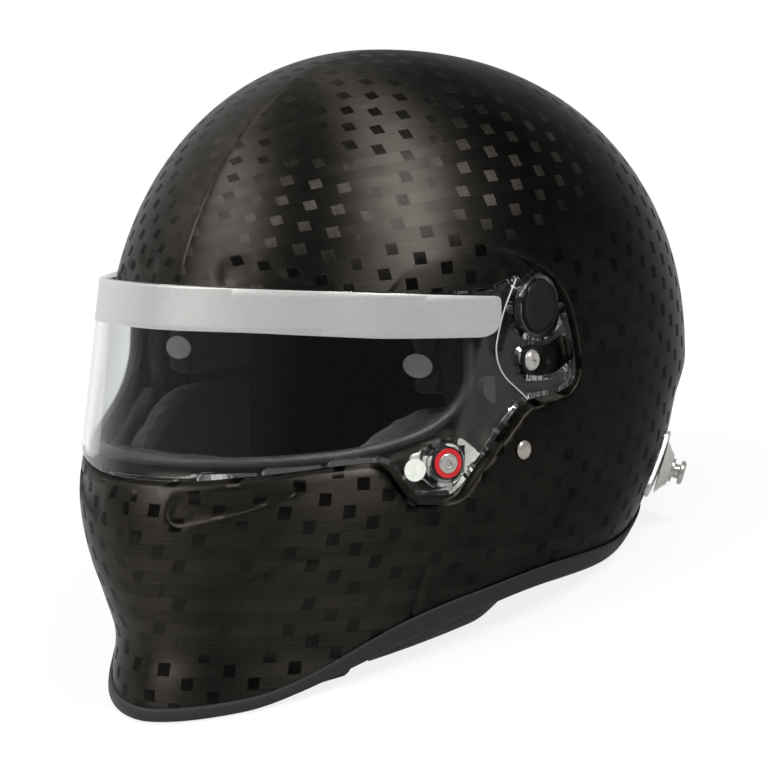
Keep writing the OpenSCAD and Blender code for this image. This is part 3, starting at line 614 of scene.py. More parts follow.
def finish_piece(obj, material, body, stands_for, sharp):
    """Links a mesh piece, shades it, hangs it on its body and hides the CAD nodes that it stands for."""
    if obj.name not in bpy.context.scene.objects:
        bpy.context.scene.collection.objects.link(obj)
    mesh = obj.data
    mesh.materials.clear()
    mesh.materials.append(material)
    mesh.polygons.foreach_set("use_smooth", [True] * len(mesh.polygons))
    mesh.set_sharp_from_angle(angle=math.radians(sharp))
    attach(obj, body)
    if stands_for:
        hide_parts(*stands_for)


def solidify(obj, thickness):
    """Gives a sheet its thickness, inward."""
    made = obj.modifiers.new("thickness", "SOLIDIFY")
    made.thickness = thickness * MM
    made.offset = -1.0
    made.use_even_offset = False


def applied(obj):
    """Applies all modifiers of a mesh object."""
    graph = bpy.context.evaluated_depsgraph_get()
    mesh = bpy.data.meshes.new_from_object(obj.evaluated_get(graph))
    obj.modifiers.clear()
    obj.data = mesh


def add_node(tree, kind, values=None, **settings):
    """Adds a shader node, with its settings and its inputs' values or links."""
    made = tree.nodes.new(kind)
    for key, value in settings.items():
        setattr(made, key, value)
    for key, value in (values or {}).items():
        if isinstance(value, bpy.types.NodeSocket):
            tree.links.new(value, made.inputs[key])
        else:
            made.inputs[key].default_value = value
    return made


def calc(tree, operation, *values, clamp=False):
    """Math node's output."""
    made = add_node(tree, "ShaderNodeMath", dict(enumerate(values)), operation=operation)
    made.use_clamp = clamp
    return made.outputs[0]


def vector_calc(tree, operation, *values):
    """Vector Math node's output: a number for a dot product or a length, else a vector."""
    made = add_node(tree, "ShaderNodeVectorMath", dict(enumerate(values)), operation=operation)
    return made.outputs["Value" if operation in ("DOT_PRODUCT", "LENGTH") else "Vector"]


def weighted(tree, first, *terms, clamp=False):
    """Sum of values, each times its weight."""
    total = calc(tree, "MULTIPLY", *first)
    for i, (value, weight) in enumerate(terms, 1):
        total = calc(tree, "MULTIPLY_ADD", value, weight, total, clamp=clamp and i == len(terms))
    return total


def mix_value(tree, factor, a, b):
    """Mix node's output of plain values."""
    return add_node(tree, "ShaderNodeMix", {0: factor, 2: a, 3: b}).outputs[0]


def mix_shader(tree, factor, a, b):
    """Mix Shader node's output."""
    return add_node(tree, "ShaderNodeMixShader", {0: factor, 1: a, 2: b}).outputs[0]


def mix_colour(tree, factor, a, b):
    """Mix node's colour output."""
    made = add_node(tree, "ShaderNodeMix", data_type="RGBA")
    for socket, value in ((made.inputs[0], factor), (made.inputs[6], a), (made.inputs[7], b)):
        if isinstance(value, bpy.types.NodeSocket):
            tree.links.new(value, socket)
        else:
            socket.default_value = (*value, 1.0)[:4] if socket.type == "RGBA" else value
    return made.outputs[2]


def spread(tree, value, low, high, to_low=0.0, to_high=1.0):
    """Map Range node's output."""
    made = add_node(tree, "ShaderNodeMapRange", {0: value, 1: low, 2: high, 3: to_low, 4: to_high})
    return made.outputs[0]


def new_material(name, **values):
    """Material with a Principled shader and its plain values, with its tree and shader."""
    made = bpy.data.materials.new(name)
    made.use_nodes = True
    shader = made.node_tree.nodes["Principled BSDF"]
    for key, value in values.items():
        socket = shader.inputs[key.replace("_", " ")]
        socket.default_value = (*value, 1.0) if isinstance(value, (tuple, list)) else value
    return made, made.node_tree, shader


def scaled(tree, place, scale):
    """Mapping node's output: a place, scaled."""
    return add_node(tree, "ShaderNodeMapping", {"Vector": place, "Scale": scale}).outputs[0]


def place_of(tree, scale=(1, 1, 1)):
    """Object coordinates in metres, scaled."""
    return scaled(tree, add_node(tree, "ShaderNodeTexCoord").outputs["Object"], scale)


def noise(tree, place, scale, detail):
    """Noise texture's value at a place."""
    made = add_node(tree, "ShaderNodeTexNoise", {"Vector": place, "Scale": scale, "Detail": detail})
    return made.outputs[0]


def add_bump(tree, shader, height, strength, depth):
    """Bump on a shader from a height, with its depth in mm."""
    made = add_node(tree, "ShaderNodeBump",
                    {"Height": height, "Strength": strength, "Distance": depth * MM})
    tree.links.new(made.outputs[0], shader.inputs["Normal"])


def link_finish(tree, shader, colour, rough=None):
    """Links a colour, and a roughness where there is one, to a shader."""
    tree.links.new(colour, shader.inputs["Base Color"])
    if rough is not None:
        tree.links.new(rough, shader.inputs["Roughness"])


def carbon_material(dark, light):
    """Matte five-harness satin: level tows, with a square of upright tow in every fifth cell."""
    made, tree, shader = new_material("carbon_satin", Metallic=1.0, Anisotropic=0.82,
                                      Specular_Tint=(0.6, 0.6, 0.6))
    uv = add_node(tree, "ShaderNodeUVMap", uv_map="cloth").outputs[0]
    wobble = add_node(tree, "ShaderNodeTexNoise", {"Vector": uv, "Scale": 0.11, "Detail": 2.0})
    drift = vector_calc(tree, "SUBTRACT", wobble.outputs["Color"], (0.5, 0.5, 0.5))
    place = vector_calc(tree, "ADD", uv, vector_calc(tree, "MULTIPLY", drift, (0.9, 0.9, 0)))
    x, y = add_node(tree, "ShaderNodeSeparateXYZ", {0: place}).outputs[:2]
    column, row = calc(tree, "FLOOR", x), calc(tree, "FLOOR", y)
    order = calc(tree, "ADD", column, calc(tree, "MULTIPLY", row, 2.0))
    turn = calc(tree, "FLOORED_MODULO", calc(tree, "ADD", order, 0.25), 5.0)
    across, up = calc(tree, "PINGPONG", x, 0.5), calc(tree, "PINGPONG", y, 0.5)
    edge = calc(tree, "MINIMUM", across, up)
    square = calc(tree, "MULTIPLY", calc(tree, "LESS_THAN", turn, 1.0), spread(tree, edge, 0.0, 0.05))
    fibres = [noise(tree, scaled(tree, place, stretch), 1, 3) for stretch in ((0.5, 24, 1), (24, 0.5, 1))]
    fibre = mix_value(tree, square, *fibres)
    tows = [add_node(tree, "ShaderNodeTexWhiteNoise", {"W": cell}, noise_dimensions="1D").outputs[0]
            for cell in (row, column)]
    tow = mix_value(tree, square, *tows)
    gap = calc(tree, "MAXIMUM", spread(tree, up, 0.0, 0.035), square)
    patchy = spread(tree, noise(tree, uv, 0.16, 3.0), 0.3, 0.7, -0.08, 0.16)
    tone = weighted(tree, (fibre, 0.7), (tow, 0.12), (patchy, 1.0), (square, -0.14), clamp=True)
    tone = calc(tree, "MULTIPLY", tone, spread(tree, gap, 0, 1, 0.8, 1.0))
    rough = calc(tree, "ADD", spread(tree, fibre, 0.3, 0.7, 0.40, 0.48),
                 calc(tree, "MULTIPLY", square, -0.04))
    link_finish(tree, shader, mix_colour(tree, tone, dark, light), rough)
    turned_by = calc(tree, "MULTIPLY", calc(tree, "SUBTRACT", 1.0, square), 0.25)
    tree.links.new(turned_by, shader.inputs["Anisotropic Rotation"])
    tangent = add_node(tree, "ShaderNodeTangent", direction_type="UV_MAP", uv_map="cloth")
    tree.links.new(tangent.outputs[0], shader.inputs["Tangent"])
    add_bump(tree, shader, weighted(tree, (gap, 0.5), (fibre, 0.35), (square, 0.25)), 0.3, 0.05)
    return made


def rubber_material(name, colour, roughness=0.62):
    """Matte moulded rubber with a fine grain."""
    made, tree, shader = new_material(name, Base_Color=colour, Specular_IOR_Level=0.4)
    grain = noise(tree, place_of(tree), 1500, 4)
    cloud = noise(tree, place_of(tree), 40, 3)
    lighter = tuple(min(1, 1.6 * c + 0.004) for c in colour)
    link_finish(tree, shader, mix_colour(tree, spread(tree, grain, 0.3, 0.75), colour, lighter),
                spread(tree, cloud, 0.3, 0.7, roughness - 0.07, roughness + 0.08))
    add_bump(tree, shader, grain, 0.3, 0.05)
    return made


def metal_material(name, colour, roughness, scale, stretch=(1, 1, 1), anisotropic=0.0, metal=0.75):
    """Satin or brushed metal: grain of a fineness, stretched along one way where it is brushed."""
    made, tree, shader = new_material(name, Metallic=metal, Anisotropic=anisotropic)
    grain = noise(tree, place_of(tree, stretch), scale, 4)
    cloud = noise(tree, place_of(tree), 30, 2)
    darker = tuple(0.85 * c for c in colour)
    rough = calc(tree, "ADD", spread(tree, grain, 0.3, 0.7, roughness - 0.05, roughness + 0.05),
                 spread(tree, cloud, 0.3, 0.7, -0.03, 0.04))
    link_finish(tree, shader, mix_colour(tree, spread(tree, grain, 0.25, 0.75), darker, colour), rough)
    add_bump(tree, shader, grain, 0.15, 0.02)
    return made


def clear_material(name, tint, roughness=0.02, gloss=0.5, through=1.0):
    """Clear moulded plastic that lets lamp light through."""
    made, tree, shader = new_material(name, Base_Color=tint, Roughness=roughness, IOR=1.5,
                                      Transmission_Weight=through, Specular_IOR_Level=gloss)
    shadow = add_node(tree, "ShaderNodeBsdfTransparent", {"Color": (*tint, 1.0)})
    path = add_node(tree, "ShaderNodeLightPath")
    both = mix_shader(tree, path.outputs["Is Shadow Ray"], shader.outputs[0], shadow.outputs[0])
    tree.links.new(both, tree.nodes["Material Output"].inputs["Surface"])
    haze = noise(tree, place_of(tree), 12, 2)
    tree.links.new(spread(tree, haze, 0.35, 0.7, roughness, roughness + 0.02), shader.inputs["Roughness"])
    return made


def plastic_material(name, colour, roughness, gloss=0.5):
    """Moulded plastic with a light texture and a slightly uneven gloss."""
    made, tree, shader = new_material(name, Base_Color=colour, Specular_IOR_Level=gloss)
    grain = noise(tree, place_of(tree), 700, 3)
    wear = noise(tree, place_of(tree), 90, 3)
    paler = tuple(min(1, 1.25 * c + 0.003) for c in colour)
    link_finish(tree, shader, mix_colour(tree, spread(tree, wear, 0.45, 0.75), colour, paler),
                spread(tree, wear, 0.3, 0.7, roughness - 0.06, roughness + 0.08))
    add_bump(tree, shader, grain, 0.12, 0.03)
    return made


def knit_material(dark, light):
    """Coarse warp knit of a pad's cover: staggered loops with a fuzzy sheen."""
    made, tree, shader = new_material("pad_knit", Roughness=0.9, Sheen_Weight=0.25, Sheen_Roughness=0.5,
                                      Specular_IOR_Level=0.2)
    loop_mm = 1.1
    loops = add_node(tree, "ShaderNodeTexVoronoi", {"Vector": place_of(tree, (1, 1, 1.35)),
                                                    "Scale": 1 / (loop_mm * MM), "Randomness": 0.35})
    fuzz = noise(tree, place_of(tree), 2600, 3)
    cloud = spread(tree, noise(tree, place_of(tree), 45, 3), 0.3, 0.7, -0.08, 0.14)
    weave = spread(tree, loops.outputs["Distance"], 0.1, 0.65, 1.0, 0.0)
    tone = weighted(tree, (weave, 0.6), (fuzz, 0.3), (cloud, 1.0), clamp=True)
    link_finish(tree, shader, mix_colour(tree, tone, dark, light))
    add_bump(tree, shader, weighted(tree, (weave, 1.0), (fuzz, 0.35)), 0.5, 0.35)
    return made


def webbing_material(dark, light):
    """Narrow woven webbing: ribs across, with chevron yarns, from the band's own map in mm."""
    made, tree, shader = new_material("strap_webbing", Roughness=0.75, Sheen_Weight=0.15, Sheen_Roughness=0.4,
                                      Specular_IOR_Level=0.3)
    uv = add_node(tree, "ShaderNodeUVMap", uv_map="cloth").outputs[0]
    across, along = add_node(tree, "ShaderNodeSeparateXYZ", {0: uv}).outputs[:2]
    chevron = weighted(tree, (calc(tree, "PINGPONG", across, 2.5), 0.8), (along, 1.0))
    rib = calc(tree, "SINE", calc(tree, "MULTIPLY", chevron, 5.2))
    warp = calc(tree, "SINE", calc(tree, "MULTIPLY", across, 7.4))
    fuzz = noise(tree, place_of(tree), 2200, 3)
    tone = weighted(tree, (rib, 0.25), (warp, 0.18), (0.3, 1.0), (fuzz, 0.4), clamp=True)
    link_finish(tree, shader, mix_colour(tree, tone, dark, light))
    add_bump(tree, shader, tone, 0.6, 0.25)
    return made


def foam_material(dark, light):
    """Moulded bead foam with its close round cells."""
    made, tree, shader = new_material("bead_foam", Roughness=0.8, Specular_IOR_Level=0.25)
    beads = add_node(tree, "ShaderNodeTexVoronoi",
                     {"Vector": place_of(tree), "Scale": 320, "Randomness": 0.9})
    edge = spread(tree, beads.outputs["Distance"], 0.2, 0.7, 1.0, 0.0)
    link_finish(tree, shader, mix_colour(tree, calc(tree, "MULTIPLY", edge, 0.8), dark, light))
    add_bump(tree, shader, edge, 0.4, 0.2)
    return made


def label_material(colour):
    """Matte printed film, pale, with a soft mottle."""
    made, tree, shader = new_material("pale_film", Roughness=0.45)
    mottle = noise(tree, place_of(tree), 350, 4)
    shade = tuple(0.86 * c for c in colour)
    link_finish(tree, shader, mix_colour(tree, spread(tree, mottle, 0.35, 0.7), shade, colour))
    add_bump(tree, shader, mottle, 0.1, 0.03)
    return made


def size_prop(name, text, default, low, high):
    """Property for a size in mm."""
    return bpy.props.FloatProperty(name=name, description=text, default=default, min=low, max=high)


def colour_prop(name, text, default):
    """Property for a linear colour."""
    return bpy.props.FloatVectorProperty(name=name, description=text, default=default, size=3, min=0, max=1,
                                         subtype="COLOR")


class HelmetShell(bpy.types.PropertyGroup):
    """Sizes and colours of the carbon shell."""

    grid: size_prop("Mesh step", "Spacing of the shell's mesh in mm", 3.4, 2.5, 8)
    crease: size_prop("Pocket crease", "Width of the rounded step into the visor's pocket in mm",
                      CREASE, 1, 5)
    recess: size_prop("Chin recess", "Depth of the chin recesses in mm", RECESS_IN, 0.5, 2)
    tow: size_prop("Tow width", "Width of one tow of the carbon cloth in mm", 6.1, 3, 10)
    dark: colour_prop("Fibre shade", "Colour between the fibres", (0.006, 0.0056, 0.005))
    light: colour_prop("Fibre glint", "Colour of the fibres in full light", (0.085, 0.077, 0.067))


class HelmetVisor(bpy.types.PropertyGroup):
    """Sizes and colours of the visor and its sun strip."""

    grid: size_prop("Mesh step", "Spacing of the visor's mesh in mm", 3.2, 2, 8)
    lobe: size_prop("Lobe height", "How far the thicker ends of the visor stand proud in mm", 0.8, 0, 1.2)
    edge: size_prop("Edge rounding", "Rounding of the visor's edges in mm", 0.5, 0.2, 0.9)
    tint: colour_prop("Clear tint", "Tint of the clear plastic", (0.965, 0.985, 0.975))
    silver: colour_prop("Sun strip", "Colour of the silver sun strip", (0.60, 0.60, 0.585))


class HelmetFittings(bpy.types.PropertyGroup):
    """Colours of the metal, plastic and rubber pieces."""

    steel: colour_prop("Steel", "Colour of the satin steel pieces", (0.74, 0.72, 0.68))
    black: colour_prop("Black plastic", "Colour of the hub and the button", (0.004, 0.004, 0.0045))
    red: colour_prop("Button face", "Colour of the button's face", (0.47, 0.008, 0.012))
    rubber: colour_prop("Rubber", "Colour of the rubber edge and the seal", (0.012, 0.012, 0.013))
    lip: bpy.props.FloatProperty(name="Front lip", description="Height of the rubber's lip at the front",
                                 default=0.5, min=0.3, max=1, subtype="FACTOR")
    label: colour_prop("Pale film", "Colour of the blank round sticker", (0.74, 0.77, 0.70))


class HelmetPads(bpy.types.PropertyGroup):
    """Mesh size and colours of the pads."""

    voxel: size_prop("Remesh size", "Size of the mesh that the pads are swollen on, in mm", 3.4, 3, 7)
    dark: colour_prop("Knit shade", "Colour in the knit's holes", (0.010, 0.0095, 0.012))
    light: colour_prop("Knit yarn", "Colour of the knit's yarns", (0.075, 0.071, 0.080))


class HelmetStage(bpy.types.PropertyGroup):
    """Light of the stage."""

    lamp_power: bpy.props.FloatProperty(name="Lamp power", description="Share of the lamps' own power",
                                        default=1.0, min=0, max=4, subtype="FACTOR")
    floor_shade: bpy.props.FloatProperty(name="Floor shade",
                                         description="How much of the floor's own light shows",
                                         default=0.15, min=0, max=1, subtype="FACTOR")


class MakeCamera(bpy.types.Operator):
    """Camera at the photograph's place and angle."""

    bl_idname = "helmet.make_camera"
    bl_label = "Camera"

    def execute(self, context):
        azimuth, elevation, away = math.radians(39.3), math.radians(5.8), 1640.0
        right = np.array([math.cos(azimuth), math.sin(azimuth), 0])
        back = np.array([math.sin(azimuth) * math.cos(elevation), -math.cos(azimuth) * math.cos(elevation),
                         math.sin(elevation)])
        aim_right, aim_up = 2.15, -10.1
        place = stand(right * aim_right + np.array([0, 0, aim_up]) + back * away)
        origin = stand(np.zeros(3))
        axes = [(stand(v) - origin) / MM for v in (right, np.cross(back, right), back)]
        camera = bpy.data.cameras.new("camera")
        camera.sensor_width = 36
        camera.lens = 158.4
        camera.clip_end = 20
        obj = bpy.data.objects.new("camera", camera)
        context.scene.collection.objects.link(obj)
        obj.matrix_world = Matrix([*np.column_stack([*axes, place]).tolist(), [0, 0, 0, 1]])
        context.scene.camera = obj
        return {"FINISHED"}


class MakeStage(bpy.types.Operator):
    """White floor with the helmet's shadow, white surroundings and soft lamps."""

    bl_idname = "helmet.make_stage"
    bl_label = "Stage"

    def execute(self, context):
        props = context.scene.helmet_stage
        context.scene.view_settings.view_transform = "Standard"
        self.make_world(context.scene)
        self.make_floor(props.floor_shade)
        lamps = [
            ("lamp_broad", (-0.55, -1.05, 1.90), (1.1, 1.0), 24.0),
            ("lamp_band", (1.12, 0.02, 1.70), (0.20, 1.2), 30.0),
            ("lamp_side", (-1.35, 0.05, 1.75), (1.0, 1.0), 6.0),
        ]
        aim = Vector((0, 0, 0.13))
        for name, place, size, power in lamps:
            lamp = bpy.data.lights.new(name, "AREA")
            lamp.shape = "RECTANGLE"
            lamp.size, lamp.size_y = size
            lamp.energy = power * props.lamp_power
            obj = bpy.data.objects.new(name, lamp)
            obj.location = place
            obj.rotation_euler = (aim - Vector(place)).to_track_quat("-Z", "Y").to_euler()
            context.scene.collection.objects.link(obj)
        return {"FINISHED"}

    def make_world(self, scene):
        """White to the camera. Shiny pieces see it white behind and to the left, dim in front and above."""
        world = bpy.data.worlds.new("surroundings")
        scene.world = world
        world.use_nodes = True
        tree = world.node_tree
        ray = add_node(tree, "ShaderNodeLightPath").outputs
        way = add_node(tree, "ShaderNodeTexCoord").outputs["Generated"]
        behind = vector_calc(tree, "DOT_PRODUCT", way, (-0.633, 0.774, 0))
        aside = vector_calc(tree, "DOT_PRODUCT", way, (-0.87, 0.49, 0))
        front = vector_calc(tree, "DOT_PRODUCT", way, (-0.3, -0.954, 0))
        above = vector_calc(tree, "DOT_PRODUCT", way, (-0.55, -0.1, 0.83))
        steep = calc(tree, "ABSOLUTE", add_node(tree, "ShaderNodeSeparateXYZ", {0: way}).outputs[2])
        back = mix_value(tree, ray["Is Transmission Ray"], spread(tree, aside, 0.4, 0.92, 0.05, 1.0),
                         spread(tree, behind, 0.72, 0.98, 0.07, 1.0))
        near = calc(tree, "MULTIPLY", spread(tree, front, 0.3, 0.85, 0.0, 0.25),
                    spread(tree, steep, 0.3, 0.75, 1.0, 0.2))
        room = calc(tree, "MAXIMUM", back, near)
        shiny = calc(tree, "MAXIMUM", ray["Is Glossy Ray"], ray["Is Transmission Ray"])
        soft = tree.nodes["Background"]
        soft.inputs[0].default_value = (1, 1, 1, 1)
        tree.links.new(spread(tree, above, -0.3, 0.9, 0.04, 0.8), soft.inputs[1])
        glossy = add_node(tree, "ShaderNodeBackground", {0: (1, 1, 1, 1), 1: room}).outputs[0]
        white = add_node(tree, "ShaderNodeBackground", {0: (1, 1, 1, 1), 1: 1.0}).outputs[0]
        lit = mix_shader(tree, shiny, soft.outputs[0], glossy)
        both = mix_shader(tree, ray["Is Camera Ray"], lit, white)
        tree.links.new(both, tree.nodes["World Output"].inputs[0])

    def make_floor(self, shade):
        """Round floor at the rim: white to the camera apart from the shadow, dim in reflections on +X."""
        made, tree, shader = new_material("floor", Base_Color=(0.9, 0.9, 0.9), Roughness=0.9)
        grain = add_node(tree, "ShaderNodeTexNoise", {"Scale": 300, "Detail": 2})
        add_bump(tree, shader, grain.outputs[0], 0.05, 0.1)
        path = add_node(tree, "ShaderNodeLightPath").outputs
        geometry = add_node(tree, "ShaderNodeNewGeometry").outputs
        far = vector_calc(tree, "LENGTH", geometry["Position"])
        aside = vector_calc(tree, "DOT_PRODUCT", geometry["Position"], (-0.95, -0.25, 0))
        seen = calc(tree, "MAXIMUM", path["Is Camera Ray"], path["Is Transmission Ray"])
        seen = calc(tree, "MAXIMUM", seen, path["Is Glossy Ray"])
        share = calc(tree, "MULTIPLY", seen, spread(tree, far, 0.5, 1.6, 1 - shade, 1.0))
        glow = add_node(tree, "ShaderNodeEmission", {0: (1, 1, 1, 1), 1: 1.0}).outputs[0]
        lit = mix_shader(tree, share, shader.outputs[0], glow)
        dim = calc(tree, "MULTIPLY", path["Is Glossy Ray"], spread(tree, aside, -0.12, 0.2, 0.68, 0.05))
        under = calc(tree, "MULTIPLY", geometry["Backfacing"], path["Is Camera Ray"])
        gone = add_node(tree, "ShaderNodeBsdfTransparent").outputs[0]
        both = mix_shader(tree, calc(tree, "MAXIMUM", under, dim), lit, gone)
        tree.links.new(both, tree.nodes["Material Output"].inputs[0])
        radius, level = 4.0, -0.0006
        t = np.linspace(0, 2 * math.pi, 96, endpoint=False)
        points = [(0, 0, level)] + [(radius * math.cos(k), radius * math.sin(k), level) for k in t]
        faces = [(0, i + 1, (i + 1) % len(t) + 1) for i in range(len(t))]
        mesh = bpy.data.meshes.new("floor")
        mesh.from_pydata(points, [], faces)
        mesh.materials.append(made)
        obj = bpy.data.objects.new("floor", mesh)
        bpy.context.scene.collection.objects.link(obj)


class MakeShell(bpy.types.Operator):
    """Carbon shell with the visor's pocket, the eye opening and the chin recesses."""

    bl_idname = "helmet.make_shell"
    bl_label = "Shell"

    def execute(self, context):
        props = context.scene.helmet_shell
        material = carbon_material(tuple(props.dark), tuple(props.light))
        port = both_sides(front_half(soft_line(PORT_LINE), shell_flat, past_shell))
        edge = 180 * DEGREE_MM
        us = np.linspace(-edge, edge, 2 * round(edge / props.grid) + 1)
        vs = np.linspace(-SHELL_LOW, SHELL_HIGH, round((SHELL_HIGH + SHELL_LOW) / props.grid) + 1)
        border = np.concatenate([
            np.stack([us, np.full(len(us), -SHELL_LOW)], 1),
            np.stack([np.full(len(vs) - 2, edge), vs[1:-1]], 1),
            np.stack([us[::-1], np.full(len(us), SHELL_HIGH)], 1),
            np.stack([np.full(len(vs) - 2, -edge), vs[-2:0:-1]], 1)])
        lines = [(port, True), *self.form_lines(props.crease), (border, True)]
        grid = np.stack(np.meshgrid(us[1:-1], vs[1:-1]), -1).reshape(-1, 2)
        grid = grid[~inside(grid, port)]
        flat, faces = triangulate(lines, grid, clearance=1.3, keep=lambda c: ~inside(c, port))
        a, z = shell_unflat(flat)
        points = shell_skin(a, z, props.crease, props.recess)
        smooth = SHELL.point(a, z)
        half = np.repeat(np.where(smooth[faces].mean(1)[:, 0] < 0, -1.0, 1.0), 3)
        cloth = self.cloth_map(smooth[faces.ravel()], half) / props.tow
        obj = add_piece("carbon_shell", points, faces, material, "root", ["outer_shell"],
                        uv=cloth, sharp=60, outward=False)
        solidify(obj, SHELL_T)
        return {"FINISHED"}

    def form_lines(self, crease):
        """Lines of the flat map along the pocket's crease, the chin recesses and the seams."""
        lines = []
        for depth in (0.0, 0.45, 1.3, 2.15, CREASE):
            line = shifted(POCKET, depth * crease / CREASE)
            lines.append((both_sides(front_half(line, shell_flat, past_shell)), True))
        for depth in (0.0, 0.5 * RECESS_EDGE, RECESS_EDGE):
            line = shifted(RECESS, inward(RECESS) * depth, True)
            share = np.clip(line[:, 0] / SHELL.reach(0, line[:, 1]), 0, 1)
            a = np.arcsin(share ** (SHELL.exponents[0] / 2))
            flat = np.stack([np.degrees(a) * DEGREE_MM, -SHELL_LOW * line[:, 1] / rim_z(a)], 1)
            lines += [(flat, True), (flat * (-1, 1), True)]
        for points, _, half in SEAMS:
            for share in (-1.6, -0.7, 0.0, 0.7, 1.6):
                flat = seam_flat(shifted(soft_line(points, 6, 1.6), share * half))
                lines += [(flat, False), (flat * (-1, 1), False)]
        crown = np.arange(40.0, 170.0, 2.0)
        for by in (-1.0, -0.45, 0.0, 0.45, 1.0):
            lines.append((np.stack([np.full(len(crown), by), crown], 1), False))
        return lines

    def cloth_map(self, points, side):
        """Place on the cloth of points on one half: level tows below the ears, draped over the side above."""
        x, y, z = points.T
        high = np.maximum(z, 0)
        lift = np.maximum(np.hypot(y, high), 1e-6)
        reach = np.hypot(x, lift)
        turn = np.arccos(np.clip(side * x / reach, -1, 1))
        away = turn * (SHELL.reach(0, np.minimum(z, 0)) + reach) / 2
        return np.stack([side * away * y / lift, away * high / lift + np.minimum(z, 0)], 1)


class MakeTrim(bpy.types.Operator):
    """Rubber edge round the shell's rim."""

    bl_idname = "helmet.make_trim"
    bl_label = "Rubber edge"

    def execute(self, context):
        props = context.scene.helmet_fittings
        material = rubber_material("edge_rubber", tuple(props.rubber))
        profile = [(0.35, 8.0), (0.8, 8.05), (1.35, 7.7), (1.75, 7.0), (1.95, 5.5), (TRIM_T, 3.0),
                   (TRIM_T, 0.4), (1.85, -0.7), (1.4, -1.5), (0.7, -2.0), (0, -TRIM_UNDER),
                   (-3.6, -TRIM_UNDER), (-4.4, -2.0), (-4.9, -1.4), (-5, -0.5), (-5, 7.2), (-4.8, 7.8),
                   (-4.4, 8.0), (-4.05, 7.6), (-4.05, -0.15), (0.35, -0.15)]
        angles = np.linspace(-math.pi, math.pi, 360, endpoint=False)
        low = rim_z(angles)
        high = low * (1 - 1 / 11)
        base = SHELL.point(angles, low)[:, 1]
        lip_end, lip_fade = 32, 26
        full = smooth_step((np.degrees(np.abs(angles)) - lip_end) / lip_fade)
        lip = props.lip + (1 - props.lip) * full
        rings = []
        # Each ring rises from the rim along the shell's wall, towards its points a little higher up.
        for out, up in profile:
            foot = SHELL.point(angles, low, out)
            ahead = SHELL.point(angles, high, out) - foot
            share = lip if up > 0 and out > 0 else 1.0
            rise = up * share + (foot[:, 1] - base) * math.tan(RIM_PITCH)
            rings.append(foot + ahead * (rise / ahead[:, 2])[:, None])
        rings = list(np.stack(rings, 1))
        points, faces = lofted(rings, looped=True)
        add_piece("rubber_edge", points, faces, material, "root", ["base_trim"], sharp=50)
        return {"FINISHED"}


class MakeSeal(bpy.types.Operator):
    """Rubber seal round the eye opening, under the visor."""

    bl_idname = "helmet.make_seal"
    bl_label = "Seal"

    def execute(self, context):
        props = context.scene.helmet_fittings
        material = rubber_material("seal_rubber", tuple(props.rubber), 0.5)
        count, gap = 420, 0.3
        flats = []
        for out in (-0.9, 0.3, 1.5, 2.7, 3.9):
            half = front_half(shifted(soft_line(PORT_LINE), -out), shell_flat, past_shell)
            flats.append(both_sides(resampled(even(half, 1.0), count)))
        lifts = (0.62, 0.92, 1.0, 0.92, 0.62, *[-0.1] * len(flats))
        rings = []
        for flat, lift in zip(flats + flats[::-1], lifts):
            a, z = shell_unflat(flat)
            phi, r = polar(shell_skin(a, z))
            top = np.maximum(visor_radius(phi, z, -VISOR_T - gap), r + 0.5)
            rings.append(from_polar(phi, r + (top - r) * lift, z))
        points, faces = lofted(list(np.stack(rings, 1)), looped=True)
        add_piece("eye_seal", points, faces, material, "root", ["eyeport_seal"], sharp=60)
        return {"FINISHED"}


def visor_flat(y, z):
    """Place on the visor's flat map of a point seen from the side."""
    return np.stack([np.degrees(visor_angle(y, z)) * DEGREE_MM, np.asarray(z, float)], -1)


def grid_over(loop, step):
    """Grid of points over a loop's box."""
    low, high = loop.min(0), loop.max(0)
    us, vs = (np.arange(low[k], high[k], step) for k in range(2))
    return np.stack(np.meshgrid(us, vs), -1).reshape(-1, 2)


def visor_sheet(outline, holes, step, edge, off, raise_by=None):
    """Sheet on the visor's face from a side outline and holes, with rounded edges; points and faces."""
    rim = both_sides(front_half(outline, visor_flat, past_visor))
    inner = both_sides(front_half(shifted(outline, edge), visor_flat, past_visor))
    lines = [(rim, True), (inner, True)]
    loops = []
    for hole, sides in holes:
        wider = shifted(hole, -edge * inward(hole), True)
        for side in sides:
            loop = visor_flat(hole[:, 0], hole[:, 1]) * (side, 1)
            loops.append(loop)
            lines += [(loop, True), (visor_flat(wider[:, 0], wider[:, 1]) * (side, 1), True)]
    grid = grid_over(rim, step)
    grid = grid[inside(grid, rim)]

    def keep(centre):
        """Whether a triangle's middle is on the sheet and in none of the holes."""
        kept = inside(centre, rim)
        for loop in loops:
            kept &= ~inside(centre, loop)
        return kept

    flat, faces = triangulate(lines, grid, clearance=0.9, keep=keep)
    near = distance(flat, rim)
    for loop in loops:
        near = np.minimum(near, distance(flat, loop))
    lift = off - 0.6 * edge * (1 - np.clip(near / edge, 0, 1)) ** 2
    a, z = np.radians(flat[:, 0] / DEGREE_MM), flat[:, 1]
    if raise_by is not None:
        lift = lift + raise_by(visor_point(a, z))
    return visor_point(a, z, lift), faces


def circle(centre, radius, squeeze=1.0):
    """Round outline as seen from the side."""
    t = np.arange(72) * 2 * math.pi / 72
    return np.stack([centre[0] + radius * squeeze * np.cos(t), centre[1] + radius * np.sin(t)], 1)


